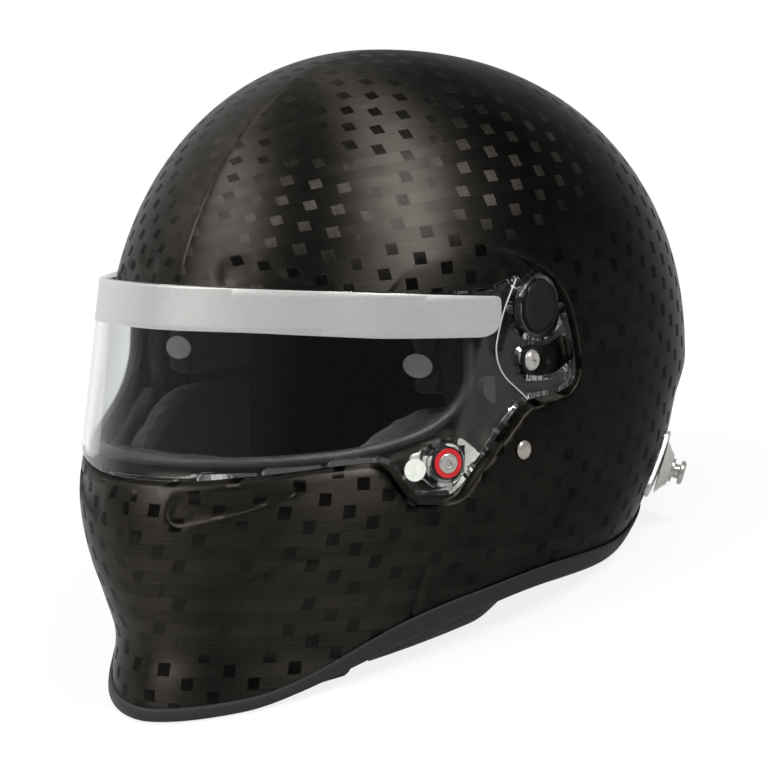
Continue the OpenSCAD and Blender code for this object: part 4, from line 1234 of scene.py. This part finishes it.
def slot_outline():
    """Curved slot round the pivot, as seen from the side."""
    start, end = math.radians(STOP_CLOSED), math.radians(STOP_CLOSED + SLOT_ANGLE)
    half = SLOT_W / 2
    t = np.linspace(start, end, 30)
    outer = np.stack([np.cos(t), np.sin(t)], 1) * (STOP_R + half)
    inner = np.stack([np.cos(t[::-1]), np.sin(t[::-1])], 1) * (STOP_R - half)

    def cap(angle, turn):
        """Round end of the slot."""
        middle = np.array([math.cos(angle), math.sin(angle)]) * STOP_R
        k = angle + turn + np.linspace(0, math.pi, 20)[1:-1]
        return middle + half * np.stack([np.cos(k), np.sin(k)], 1)

    loop = np.concatenate([outer, cap(end, 0), inner, cap(start, math.pi)])
    return even(loop + np.array(PIVOT), 1.0, True)


class MakeVisor(bpy.types.Operator):
    """Clear visor with its pivot holes, curved slots, thicker lobes and the lock's hole."""

    bl_idname = "helmet.make_visor"
    bl_label = "Visor"

    def execute(self, context):
        props = context.scene.helmet_visor
        material = clear_material("clear_visor", tuple(props.tint), gloss=0.08)
        lobe = soft_loop(LOBE_LINE, 8)

        def raised(points):
            """How far the thicker ends stand proud at each point."""
            return props.lobe * smooth_step(depth_in(points[:, 1:], lobe) / 2.4)

        gap = 0.05
        squeeze = abs(visor_frame(*BUTTON_AT)[1][1][1])
        holes = [
            (circle(PIVOT, COLLAR_D / 2 + gap), (1, -1)),
            (slot_outline(), (1, -1)),
            (circle(BUTTON_AT, GUIDE_OUT / 2 + gap, squeeze), (1,)),
        ]
        points, faces = visor_sheet(soft_line(VISOR_LINE, 8), holes, props.grid, props.edge, 0.0, raised)
        obj = add_piece("clear_visor", points, faces, material, "visor", ["visor"], sharp=50,
                        outward=False)
        solidify(obj, VISOR_T)
        self.make_edges(props.lobe)
        return {"FINISHED"}

    def make_edges(self, height):
        """Ridges round the thicker ends of the visor, in pale, partly matte clear plastic: a painted
        highlight along the lobes' edges.
        """
        # Pale tint and only part of the light let through: a painted highlight of the glassy lobe edges, not
        # a polish.
        material = clear_material("lobe_ridge_painted_highlight", (0.70, 0.73, 0.76), 0.14, through=0.6)
        radius, sides = 0.36, 10
        path = soft_line(LOBE_LINE[:7], 8, 1.0)
        path = path[depth_in(path, soft_line(VISOR_LINE, 8)) > 0.8]
        a = visor_angle(path[:, 0], path[:, 1])
        middle = visor_point(a, path[:, 1], 0.5 * height)
        out = visor_point(a, path[:, 1], 1.0) - visor_point(a, path[:, 1])
        across = np.cross(np.gradient(middle, axis=0), out)
        across /= np.linalg.norm(across, axis=1)[:, None]
        turns = np.arange(sides) * 2 * math.pi / sides
        c, s = np.cos(turns)[:, None], np.sin(turns)[:, None]
        rings = [middle[i] + radius * (c * across[i] + s * out[i]) for i in range(len(path))]
        points, faces = lofted(rings)
        for word, side in SIDES:
            add_piece("lobe_edge_" + word, points, faces, material, "visor", side=side,
                      sharp=180)


class MakeStrip(bpy.types.Operator):
    """Silver sun strip across the top of the visor."""

    bl_idname = "helmet.make_strip"
    bl_label = "Sun strip"

    def execute(self, context):
        props = context.scene.helmet_visor
        material = metal_material("silver_film", tuple(props.silver), 0.42, 2200, (0.25, 0.25, 1.0),
                                  metal=0.55)
        points, faces = visor_sheet(soft_line(STRIP_LINE, 5), [], props.grid, 0.3, FILM_T)
        obj = add_piece("sun_strip_film", points, faces, material, "visor", ["sun_strip"],
                        sharp=50, outward=False)
        solidify(obj, FILM_T)
        return {"FINISHED"}


def add_turned(name, rings, frame, material, body, nodes, side=1):
    """Turned piece in a local frame."""
    local, faces = turned(rings)
    return add_piece(name, placed(frame, local), faces, material, body, nodes, side, sharp=40)


class MakePivots(bpy.types.Operator):
    """Pivot hubs, clear collars, and the stop screws with their washers."""

    bl_idname = "helmet.make_pivots"
    bl_label = "Pivots"

    def execute(self, context):
        props = context.scene.helmet_fittings
        black = plastic_material("black_plastic", tuple(props.black), 0.18, gloss=0.2)
        steel = metal_material("satin_steel", tuple(props.steel), 0.27, 1100, (1, 1, 6))
        clear = clear_material("clear_collar", tuple(context.scene.helmet_visor.tint))
        hub_r = HUB_D / 2
        hub = rounded_rings([(0.01, 1.0), (9.8, 1.05), (11.2, 1.25), (11.7, 1.6), (12.1, 1.55), (hub_r, 0.9),
                             (hub_r, -5.2), (2.5, -5.2), (2.5, -12.9), (0.01, -12.9)], 0.4)
        collar = bush(hub_r + RUN_GAP, COLLAR_D / 2, -3.4, 0.5, 0.45)
        screw = [(0.01, 1.0), (1.7, 1.0, 6), (1.7, 2.75, 6), *rounded_rings(
            [(2.1, 2.95), (3.4, 3.0), (4.3, 2.3), (4.8, 1.3), (4.8, 0.6), (2.5, 0.6), (2.5, -12.9),
             (0.01, -12.9)], 0.4)]
        washer = bush(2.6, 6.45, -0.6, 0.6, 0.2)
        at = stop_place()
        for word, side in SIDES:
            add_turned("hub_" + word, hub, pivot_frame(*PIVOT), black, "root",
                       ["pivot_hub_" + word], side)
            add_turned("collar_" + word, collar, pivot_frame(*PIVOT), clear, "visor",
                       ["pivot_collar_" + word], side)
            add_turned("stop_screw_head_" + word, screw, pivot_frame(*at), steel, "root",
                       ["stop_screw_" + word], side)
            add_turned("stop_washer_ring_" + word, washer, pivot_frame(*at), black, "root",
                       ["stop_washer_" + word], side)
        return {"FINISHED"}


def stop_place():
    """Place of the stop screw, as seen from the side."""
    turn = math.radians(STOP_CLOSED)
    return PIVOT[0] + STOP_R * math.cos(turn), PIVOT[1] + STOP_R * math.sin(turn)


class MakeLock(bpy.types.Operator):
    """Visor lock: plate, clear guide, button with its red face and screw, and blank sticker."""

    bl_idname = "helmet.make_lock"
    bl_label = "Visor lock"

    def execute(self, context):
        props = context.scene.helmet_fittings
        black = plastic_material("button_black", tuple(props.black), 0.25)
        red = plastic_material("button_red", tuple(props.red), 0.3)
        steel = metal_material("screw_steel", tuple(props.steel), 0.25, 1500)
        plate_steel = metal_material("plate_steel", tuple(props.steel), 0.4, 1800, (0.2, 0.2, 1), 0.4, 0.6)
        clear = clear_material("clear_guide", tuple(context.scene.helmet_visor.tint))
        at = visor_frame(*BUTTON_AT)
        button_r, top = BUTTON_D / 2, 2.4
        guide = bush(GUIDE_D / 2, GUIDE_OUT / 2, -3.0, 1.2, 0.5)
        button = rounded_rings([(0.01, top), (button_r, top), (button_r, -3.3), (8.0, -3.3), (8.0, -3.8),
                                (0.01, -3.8)], 0.25)
        face = bush(4.6, 6.7, top, 3.0, 0.22)
        screw = [(0.01, 2.5), (1.6, 2.5, 6), (1.6, 3.25, 6), *rounded_rings(
            [(1.95, 3.45), (3.6, 3.5), (4.5, 3.1), (4.5, top), (0.01, top)], 0.3)]
        sticker = rounded_rings([(0.01, 0.6), (5.1, 0.6), (5.1, 0.35), (0.01, 0.35)], 0.1)
        add_turned("lock_guide_ring", guide, at, clear, "visor", ["lock_guide"])
        add_turned("lock_button_body", button, at, black, "lock_button", ["lock_button"])
        add_turned("lock_button_face", face, at, red, "lock_button", ["lock_face"])
        add_turned("lock_screw_head", screw, at, steel, "lock_button", ["lock_screw"])
        add_turned("blank_sticker", sticker, visor_frame(-96, -34.7), label_material(tuple(props.label)),
                   "visor", ["lock_sticker"])
        self.make_plate(plate_steel)
        return {"FINISHED"}

    def make_plate(self, material):
        """Steel plate on the pocket's floor."""
        edge = 0.5
        loop = soft_loop(PLATE_LINE, 4, 1.0)
        inner = shifted(loop, edge * inward(loop), True)
        rim, ring = (visor_flat(k[:, 0], k[:, 1]) for k in (loop, inner))
        flat, faces = triangulate([(rim, True), (ring, True)], grid_over(rim, 2.5), clearance=0.8,
                                  keep=lambda c: inside(c, rim))
        near = np.clip(distance(flat, rim) / edge, 0, 1)
        lift = -POCKET_IN + FLOOR_SLACK + PLATE_T - 0.25 * (1 - near)
        points = visor_point(np.radians(flat[:, 0] / DEGREE_MM), flat[:, 1], lift)
        obj = add_piece("lock_plate_steel", points, faces, material, "root", ["lock_plate"],
                        outward=False)
        solidify(obj, PLATE_T)


def swollen(name, node, material, voxel, shrink=0.0, pressure=0.0, cap=0.0):
    """Soft piece from its CAD solid: remeshed, smoothed, swollen by cloth pressure, and subdivided."""
    obj = bpy.data.objects.new(name, NODES[node].data.copy())
    bpy.context.scene.collection.objects.link(obj)
    remesh = obj.modifiers.new("remesh", "REMESH")
    remesh.mode = "VOXEL"
    remesh.voxel_size = voxel * MM
    relax = obj.modifiers.new("relax", "SMOOTH")
    relax.factor = 0.5
    relax.iterations = 6
    applied(obj)
    mesh = obj.data
    rest = np.zeros(len(mesh.vertices) * 3)
    normal = np.zeros(len(mesh.vertices) * 3)
    mesh.vertices.foreach_get("co", rest)
    mesh.vertex_normals.foreach_get("vector", normal)
    rest = rest.reshape(-1, 3) - shrink * MM * normal.reshape(-1, 3)
    mesh.vertices.foreach_set("co", rest.ravel())
    mesh.update()
    if pressure:
        cloth = obj.modifiers.new("cloth", "CLOTH")
        cloth.settings.quality = 4
        cloth.settings.use_pressure = True
        cloth.settings.uniform_pressure_force = pressure
        cloth.settings.effector_weights.gravity = 0
        cloth.settings.tension_stiffness = 25
        cloth.settings.compression_stiffness = 25
        scene = bpy.context.scene
        last_frame = 15
        for step in range(1, last_frame + 1):
            scene.frame_set(step)
        graph = bpy.context.evaluated_depsgraph_get()
        shaped = obj.evaluated_get(graph).to_mesh()
        moved = np.zeros(len(rest) * 3)
        shaped.vertices.foreach_get("co", moved)
        obj.evaluated_get(graph).to_mesh_clear()
        obj.modifiers.clear()
        scene.frame_set(1)
        by = moved.reshape(-1, 3) - rest
        length = np.maximum(np.linalg.norm(by, axis=1), 1e-9)
        by *= np.minimum(1, cap * MM / length)[:, None]
        mesh.vertices.foreach_set("co", (rest + by).ravel())
        mesh.update()
    subdivide = obj.modifiers.new("rounding", "SUBSURF")
    subdivide.levels = 1
    subdivide.render_levels = 1
    finish_piece(obj, material, "root", [node], 180)
    return obj


class MakePads(bpy.types.Operator):
    """Foam linings, and the sewn pads that are swollen by cloth pressure."""

    bl_idname = "helmet.make_pads"
    bl_label = "Linings and pads"

    def execute(self, context):
        props = context.scene.helmet_pads
        knit = knit_material(tuple(props.dark), tuple(props.light))
        foam = foam_material((0.012, 0.012, 0.013), (0.035, 0.035, 0.038))
        swollen("foam_lining", "foam_liner", foam, 4.0)
        swollen("chin_lining", "chin_foam", foam, 3.6)
        swollen("crown_cushion", "crown_pad", knit, props.voxel, shrink=0.4)
        swollen("brow_cushion", "brow_pad", knit, 2.6, shrink=0.6, pressure=1.5, cap=1.2)
        swollen("nape_roll", "neck_roll", knit, props.voxel, shrink=0.9, pressure=3, cap=1.8)
        self.make_skirts(knit)
        for word, _ in SIDES:
            swollen("temple_cushion_" + word, "temple_pad_" + word, knit, 2.8,
                    shrink=1.0, pressure=3, cap=1.8)
            swollen("cheek_cushion_" + word, "cheek_pad_" + word, knit, props.voxel,
                    shrink=1.2, pressure=3, cap=2.4)
        return {"FINISHED"}

    def make_skirts(self, material):
        """Fabric rolls under the chin foam and the cheeks, that show below the rubber edge."""
        inset, half_thick, square, sides = -10.5, 4.8, 0.6, 24
        around = np.arange(sides) * 2 * math.pi / sides
        across, along = (np.sign(k) * np.abs(k) ** square for k in (np.cos(around), np.sin(around)))
        # First and last angle from the front, in degrees, then the fades there and the lift off the ground.
        skirts = {"chin_skirt_": (30.0, 49.3, 4.0, 2.2, 0.8), "cheek_skirt_": (50.6, 84.0, 2.2, 12.0, 4.2)}
        for name, (start, end, fade, close, lift) in skirts.items():
            rings = []
            for turn in np.linspace(start, end, 32):
                a = math.radians(turn)
                ends = smooth_step((end + 0.5 - turn) / close)
                full = ends * smooth_step((turn - start + 1.0) / fade) * 0.5 + 0.5
                low = base_z(SHELL.point(a, -135.0, inset)[1]) + lift + 6.0 * (1 - ends)
                high = float(rim_z(np.array([a]))[0]) + 9.0
                z = (low + high) / 2 + (high - low) / 2 * along * full
                rings.append(SHELL.point(np.full(sides, a), z, inset + half_thick * across * full))
            points, faces = lofted(rings)
            for word, side in SIDES:
                obj = add_piece(name + word, points, faces, material, "root", side=side,
                                sharp=180)


def catmull(points, per=8):
    """Smooth line through points."""
    p = np.array(points, float)
    p = np.vstack([2 * p[0] - p[1], p, 2 * p[-1] - p[-2]])
    out = []
    for i in range(1, len(p) - 2):
        for t in np.linspace(0, 1, per, endpoint=False):
            a, b, c, d = p[i - 1:i + 3]
            out.append(0.5 * (2 * b + (c - a) * t + (2 * a - 5 * b + 4 * c - d) * t * t
                              + (3 * b - a - 3 * c + d) * t ** 3))
    out.append(p[-2])
    return np.array(out)


class MakeStraps(bpy.types.Operator):
    """Chin strap of woven webbing, its sewn end with two sleeves, and its rivets."""

    bl_idname = "helmet.make_straps"
    bl_label = "Chin strap"

    def execute(self, context):
        web = webbing_material((0.006, 0.006, 0.007), (0.055, 0.055, 0.06))
        steel = metal_material("rivet_steel", (0.62, 0.58, 0.52), 0.3, 1300)
        for word, side in SIDES:
            route = STRAP_ROUTE + (TAIL_ROUTE if side < 0 else [])
            points, faces, uv = self.band(catmull(route), 1.2)
            add_piece("strap_band_" + word, points, faces, web, "root", ["strap_" + word],
                      side, uv=uv, sharp=60)
        self.make_sleeve(web)
        rivet = rounded_rings([(0.01, 1.85), (1.5, 1.8), (3.0, 1.45), (4.0, 0.8), (4.4, 0.25), (2.0, 0.25),
                               (2.0, -8.4), (0.01, -8.4)], 0.5)
        for word, side in SIDES:
            nodes = ["strap_rivets"] if side > 0 else []
            add_turned("strap_rivet_" + word, rivet, rivet_frame(), steel, "root", nodes, side)
        return {"FINISHED"}

    def band(self, route, half):
        """Band along a route, wide along the head, and folded narrow near its rivet."""
        rings, uvs, run = [], [], 0.0
        lower = [(-1, -0.55), (-0.985, -1), (-0.5, -1), (0, -1), (0.5, -1), (0.985, -1), (1, -0.55)]
        section = lower + [(-u, -v) for u, v in lower]
        for i, p in enumerate(route):
            ahead = route[min(i + 1, len(route) - 1)] - route[max(i - 1, 0)]
            n = np.array([-ahead[2], 0, ahead[0]]) / math.hypot(ahead[0], ahead[2])
            wide = STRAP_HALF_W * (1 - 0.5 * min(max((p[2] + 48) / 12, 0), 1))
            lean = wide * math.tan(math.radians(11)) * min(max((p[2] + 80) / 40, 0), 1)
            if i:
                run += np.linalg.norm(p - route[i - 1])
            rings.append(np.array([p + n * half * v + np.array([lean, wide, 0]) * u for u, v in section]))
            uvs += [(STRAP_HALF_W * u, run) for u, _ in section]
        points, faces = lofted(rings)
        return points, faces, np.array(uvs)

    def make_sleeve(self, material):
        """Sewn end of the left strap: two sleeves of folded webbing, pinched between the rings."""
        centre_x, centre_z, r = (40.0, 45.6), -89.9, 3.65
        t = np.linspace(0, math.pi, 13)
        left = [(centre_x[0] - r * math.sin(k), centre_z + r * math.cos(k)) for k in t]
        right = [(centre_x[1] + r * math.sin(k), centre_z - r * math.cos(k)) for k in t]
        middle = sum(centre_x) / 2
        outline = soft_loop(left + [(middle, centre_z - r + 0.7)] + right + [(middle, centre_z + r)], 2, 0.7)
        centre = outline.mean(0)
        rings, uvs = [], []
        for y, inset in ((-12, 0.5), (-11.8, 0.1), (-11, 0), *((k, 0) for k in range(-10, 11, 2)), (11, 0),
                         (11.8, 0.1), (12, 0.5)):
            ring = centre + (outline - centre) * (1 - inset / 6)
            rings.append(np.stack([ring[:, 0], np.full(len(ring), -49.0 + y), ring[:, 1]], 1))
            uvs += [(y, 0.7 * k) for k in range(len(ring))]
        points, faces = lofted(rings)
        add_piece("strap_sleeve", points, faces, material, "root", ["strap_end"],
                  uv=np.array(uvs), sharp=60)


class MakeRestraint(bpy.types.Operator):
    """Head restraint posts on their brackets."""

    bl_idname = "helmet.make_restraint"
    bl_label = "Head restraint posts"

    def execute(self, context):
        props = context.scene.helmet_fittings
        steel = metal_material("bracket_steel", (0.80, 0.79, 0.76), 0.34, 1400, metal=0.7)
        post_steel = metal_material("post_steel", tuple(props.steel), 0.22, 1600)
        post = [(0.01, 12.0), (2.2, 12.0, 6), (2.2, 13.8, 6), *rounded_rings(
            [(2.7, 14.0), (4.9, 14.0), (6, 13.2), (6, 11.5), (3.6, 11.5), (3.6, 8.5), (6, 8.5), (6, 7),
             (2.5, 7), (2.5, -6), (0.01, -6)], 0.35)]
        for word, side in SIDES:
            add_turned("post_head_" + word, post, post_frame(), post_steel, "root",
                       ["restraint_post_" + word], side)
            points, faces = self.bracket()
            add_piece("post_bracket_" + word, points, faces, steel, "root",
                      ["restraint_bracket_" + word], side, sharp=40)
        return {"FINISHED"}

    def bracket(self):
        """Three-lobed plate on the shell with the boss under the post."""
        corner_r = 5
        corners = np.array([(-13, 0), (10, -11), (10, 11)], float)
        rounds = []
        for i, p in enumerate(corners):
            before, after = corners[i - 1] - p, corners[(i + 1) % 3] - p
            n1 = np.array([before[1], -before[0]]) / np.linalg.norm(before)
            n2 = np.array([-after[1], after[0]]) / np.linalg.norm(after)
            if np.dot(n1, p - corners.mean(0)) < 0:
                n1, n2 = -n1, -n2
            for t in np.linspace(0, 1, 14):
                n = n1 * (1 - t) + n2 * t
                rounds.append(p + corner_r * n / np.linalg.norm(n))
        outline = even(np.array(rounds), 1.0, True)
        frame = post_frame()
        rings = []
        for share, out in ((1.0, 0.05), (1.0, 1.6), (0.985, 2.0), (0.96, 2.2), (0.8, 2.2), (0.6, 2.25),
                           (0.4, 2.3), (0.2, 2.3)):
            rings.append(self.on_shell(frame, outline * share, out))
        boss = [(13.5, 2.2), (12.2, 3.2), (10.0, 4.8), (8.4, 6.2), (7.9, 6.8), (7.4, 7.0), (2.6, 7.0)]
        points, faces = lofted(rings, capped=False)
        local, more = turned(boss, 60)
        base = len(points)
        points = np.concatenate([points, placed(frame, local)])
        faces = faces + [tuple(i + base for i in f) for f in more]
        return points, faces

    def on_shell(self, frame, flat, out):
        """Local flat points dropped onto the shell, with a lift."""
        low, high = np.full(len(flat), -30.0), np.full(len(flat), 25.0)
        for _ in range(30):
            middle = (low + high) / 2
            p = placed(frame, np.column_stack([flat, middle]))
            phi, r = polar(p)
            within = r < SHELL.radius(phi, p[:, 2], out)
            low = np.where(within, middle, low)
            high = np.where(within, high, middle)
        return placed(frame, np.column_stack([flat, (low + high) / 2]))


class FinishSmallParts(bpy.types.Operator):
    """Finishes for the CAD pieces whose own shape is kept."""

    bl_idname = "helmet.finish_small_parts"
    bl_label = "Small parts"

    def execute(self, context):
        props = context.scene.helmet_fittings
        rubber = rubber_material("stop_rubber", tuple(props.rubber))
        black = plastic_material("catch_black", tuple(props.black), 0.3)
        steel = metal_material("ring_steel", tuple(props.steel), 0.22, 1500)
        patch = label_material((0.62, 0.60, 0.60))
        finishes = {"rubber_stop_left": rubber, "rubber_stop_right": rubber, "lock_catch": black,
                    "d_ring_inner": steel, "d_ring_outer": steel, "patch_left": patch, "patch_right": patch}
        for node, material in finishes.items():
            mesh = NODES[node].data
            mesh.materials.clear()
            mesh.materials.append(material)
        return {"FINISHED"}


class HelmetPanel(bpy.types.Panel):
    """Lists the helmet's pieces in the sidebar."""

    bl_idname = "VIEW3D_PT_helmet"
    bl_label = "Helmet"
    bl_space_type = "VIEW_3D"
    bl_region_type = "UI"
    bl_category = "Helmet"

    def draw(self, context):
        for maker in MAKERS:
            self.layout.operator(maker.bl_idname)
        for group in PROPERTIES:
            box = self.layout.box()
            for key in PROPERTIES[group].__annotations__:
                box.prop(getattr(context.scene, group), key)


PROPERTIES = {
    "helmet_shell": HelmetShell,
    "helmet_visor": HelmetVisor,
    "helmet_fittings": HelmetFittings,
    "helmet_pads": HelmetPads,
    "helmet_stage": HelmetStage,
}
MAKERS = (MakeCamera, MakeStage, MakeShell, MakeTrim, MakeSeal, MakeVisor, MakeStrip, MakePivots, MakeLock,
          MakePads, MakeStraps, MakeRestraint, FinishSmallParts)


def register():
    """Registers the classes and hangs the settings on the scene."""
    for made in (*PROPERTIES.values(), *MAKERS, HelmetPanel):
        bpy.utils.register_class(made)
    for name, group in PROPERTIES.items():
        setattr(bpy.types.Scene, name, bpy.props.PointerProperty(type=group))


def unregister():
    """Takes the settings off the scene and unregisters the classes."""
    for name in PROPERTIES:
        delattr(bpy.types.Scene, name)
    for made in reversed((*PROPERTIES.values(), *MAKERS, HelmetPanel)):
        bpy.utils.unregister_class(made)


def main():
    """Builds every piece in order."""
    register()
    bpy.ops.helmet.make_camera()
    bpy.ops.helmet.make_stage()
    bpy.ops.helmet.make_shell()
    bpy.ops.helmet.make_trim()
    bpy.ops.helmet.make_seal()
    bpy.ops.helmet.make_visor()
    bpy.ops.helmet.make_strip()
    bpy.ops.helmet.make_pivots()
    bpy.ops.helmet.make_lock()
    bpy.ops.helmet.make_pads()
    bpy.ops.helmet.make_straps()
    bpy.ops.helmet.make_restraint()
    bpy.ops.helmet.finish_small_parts()


if __name__ == "__main__":
    main()
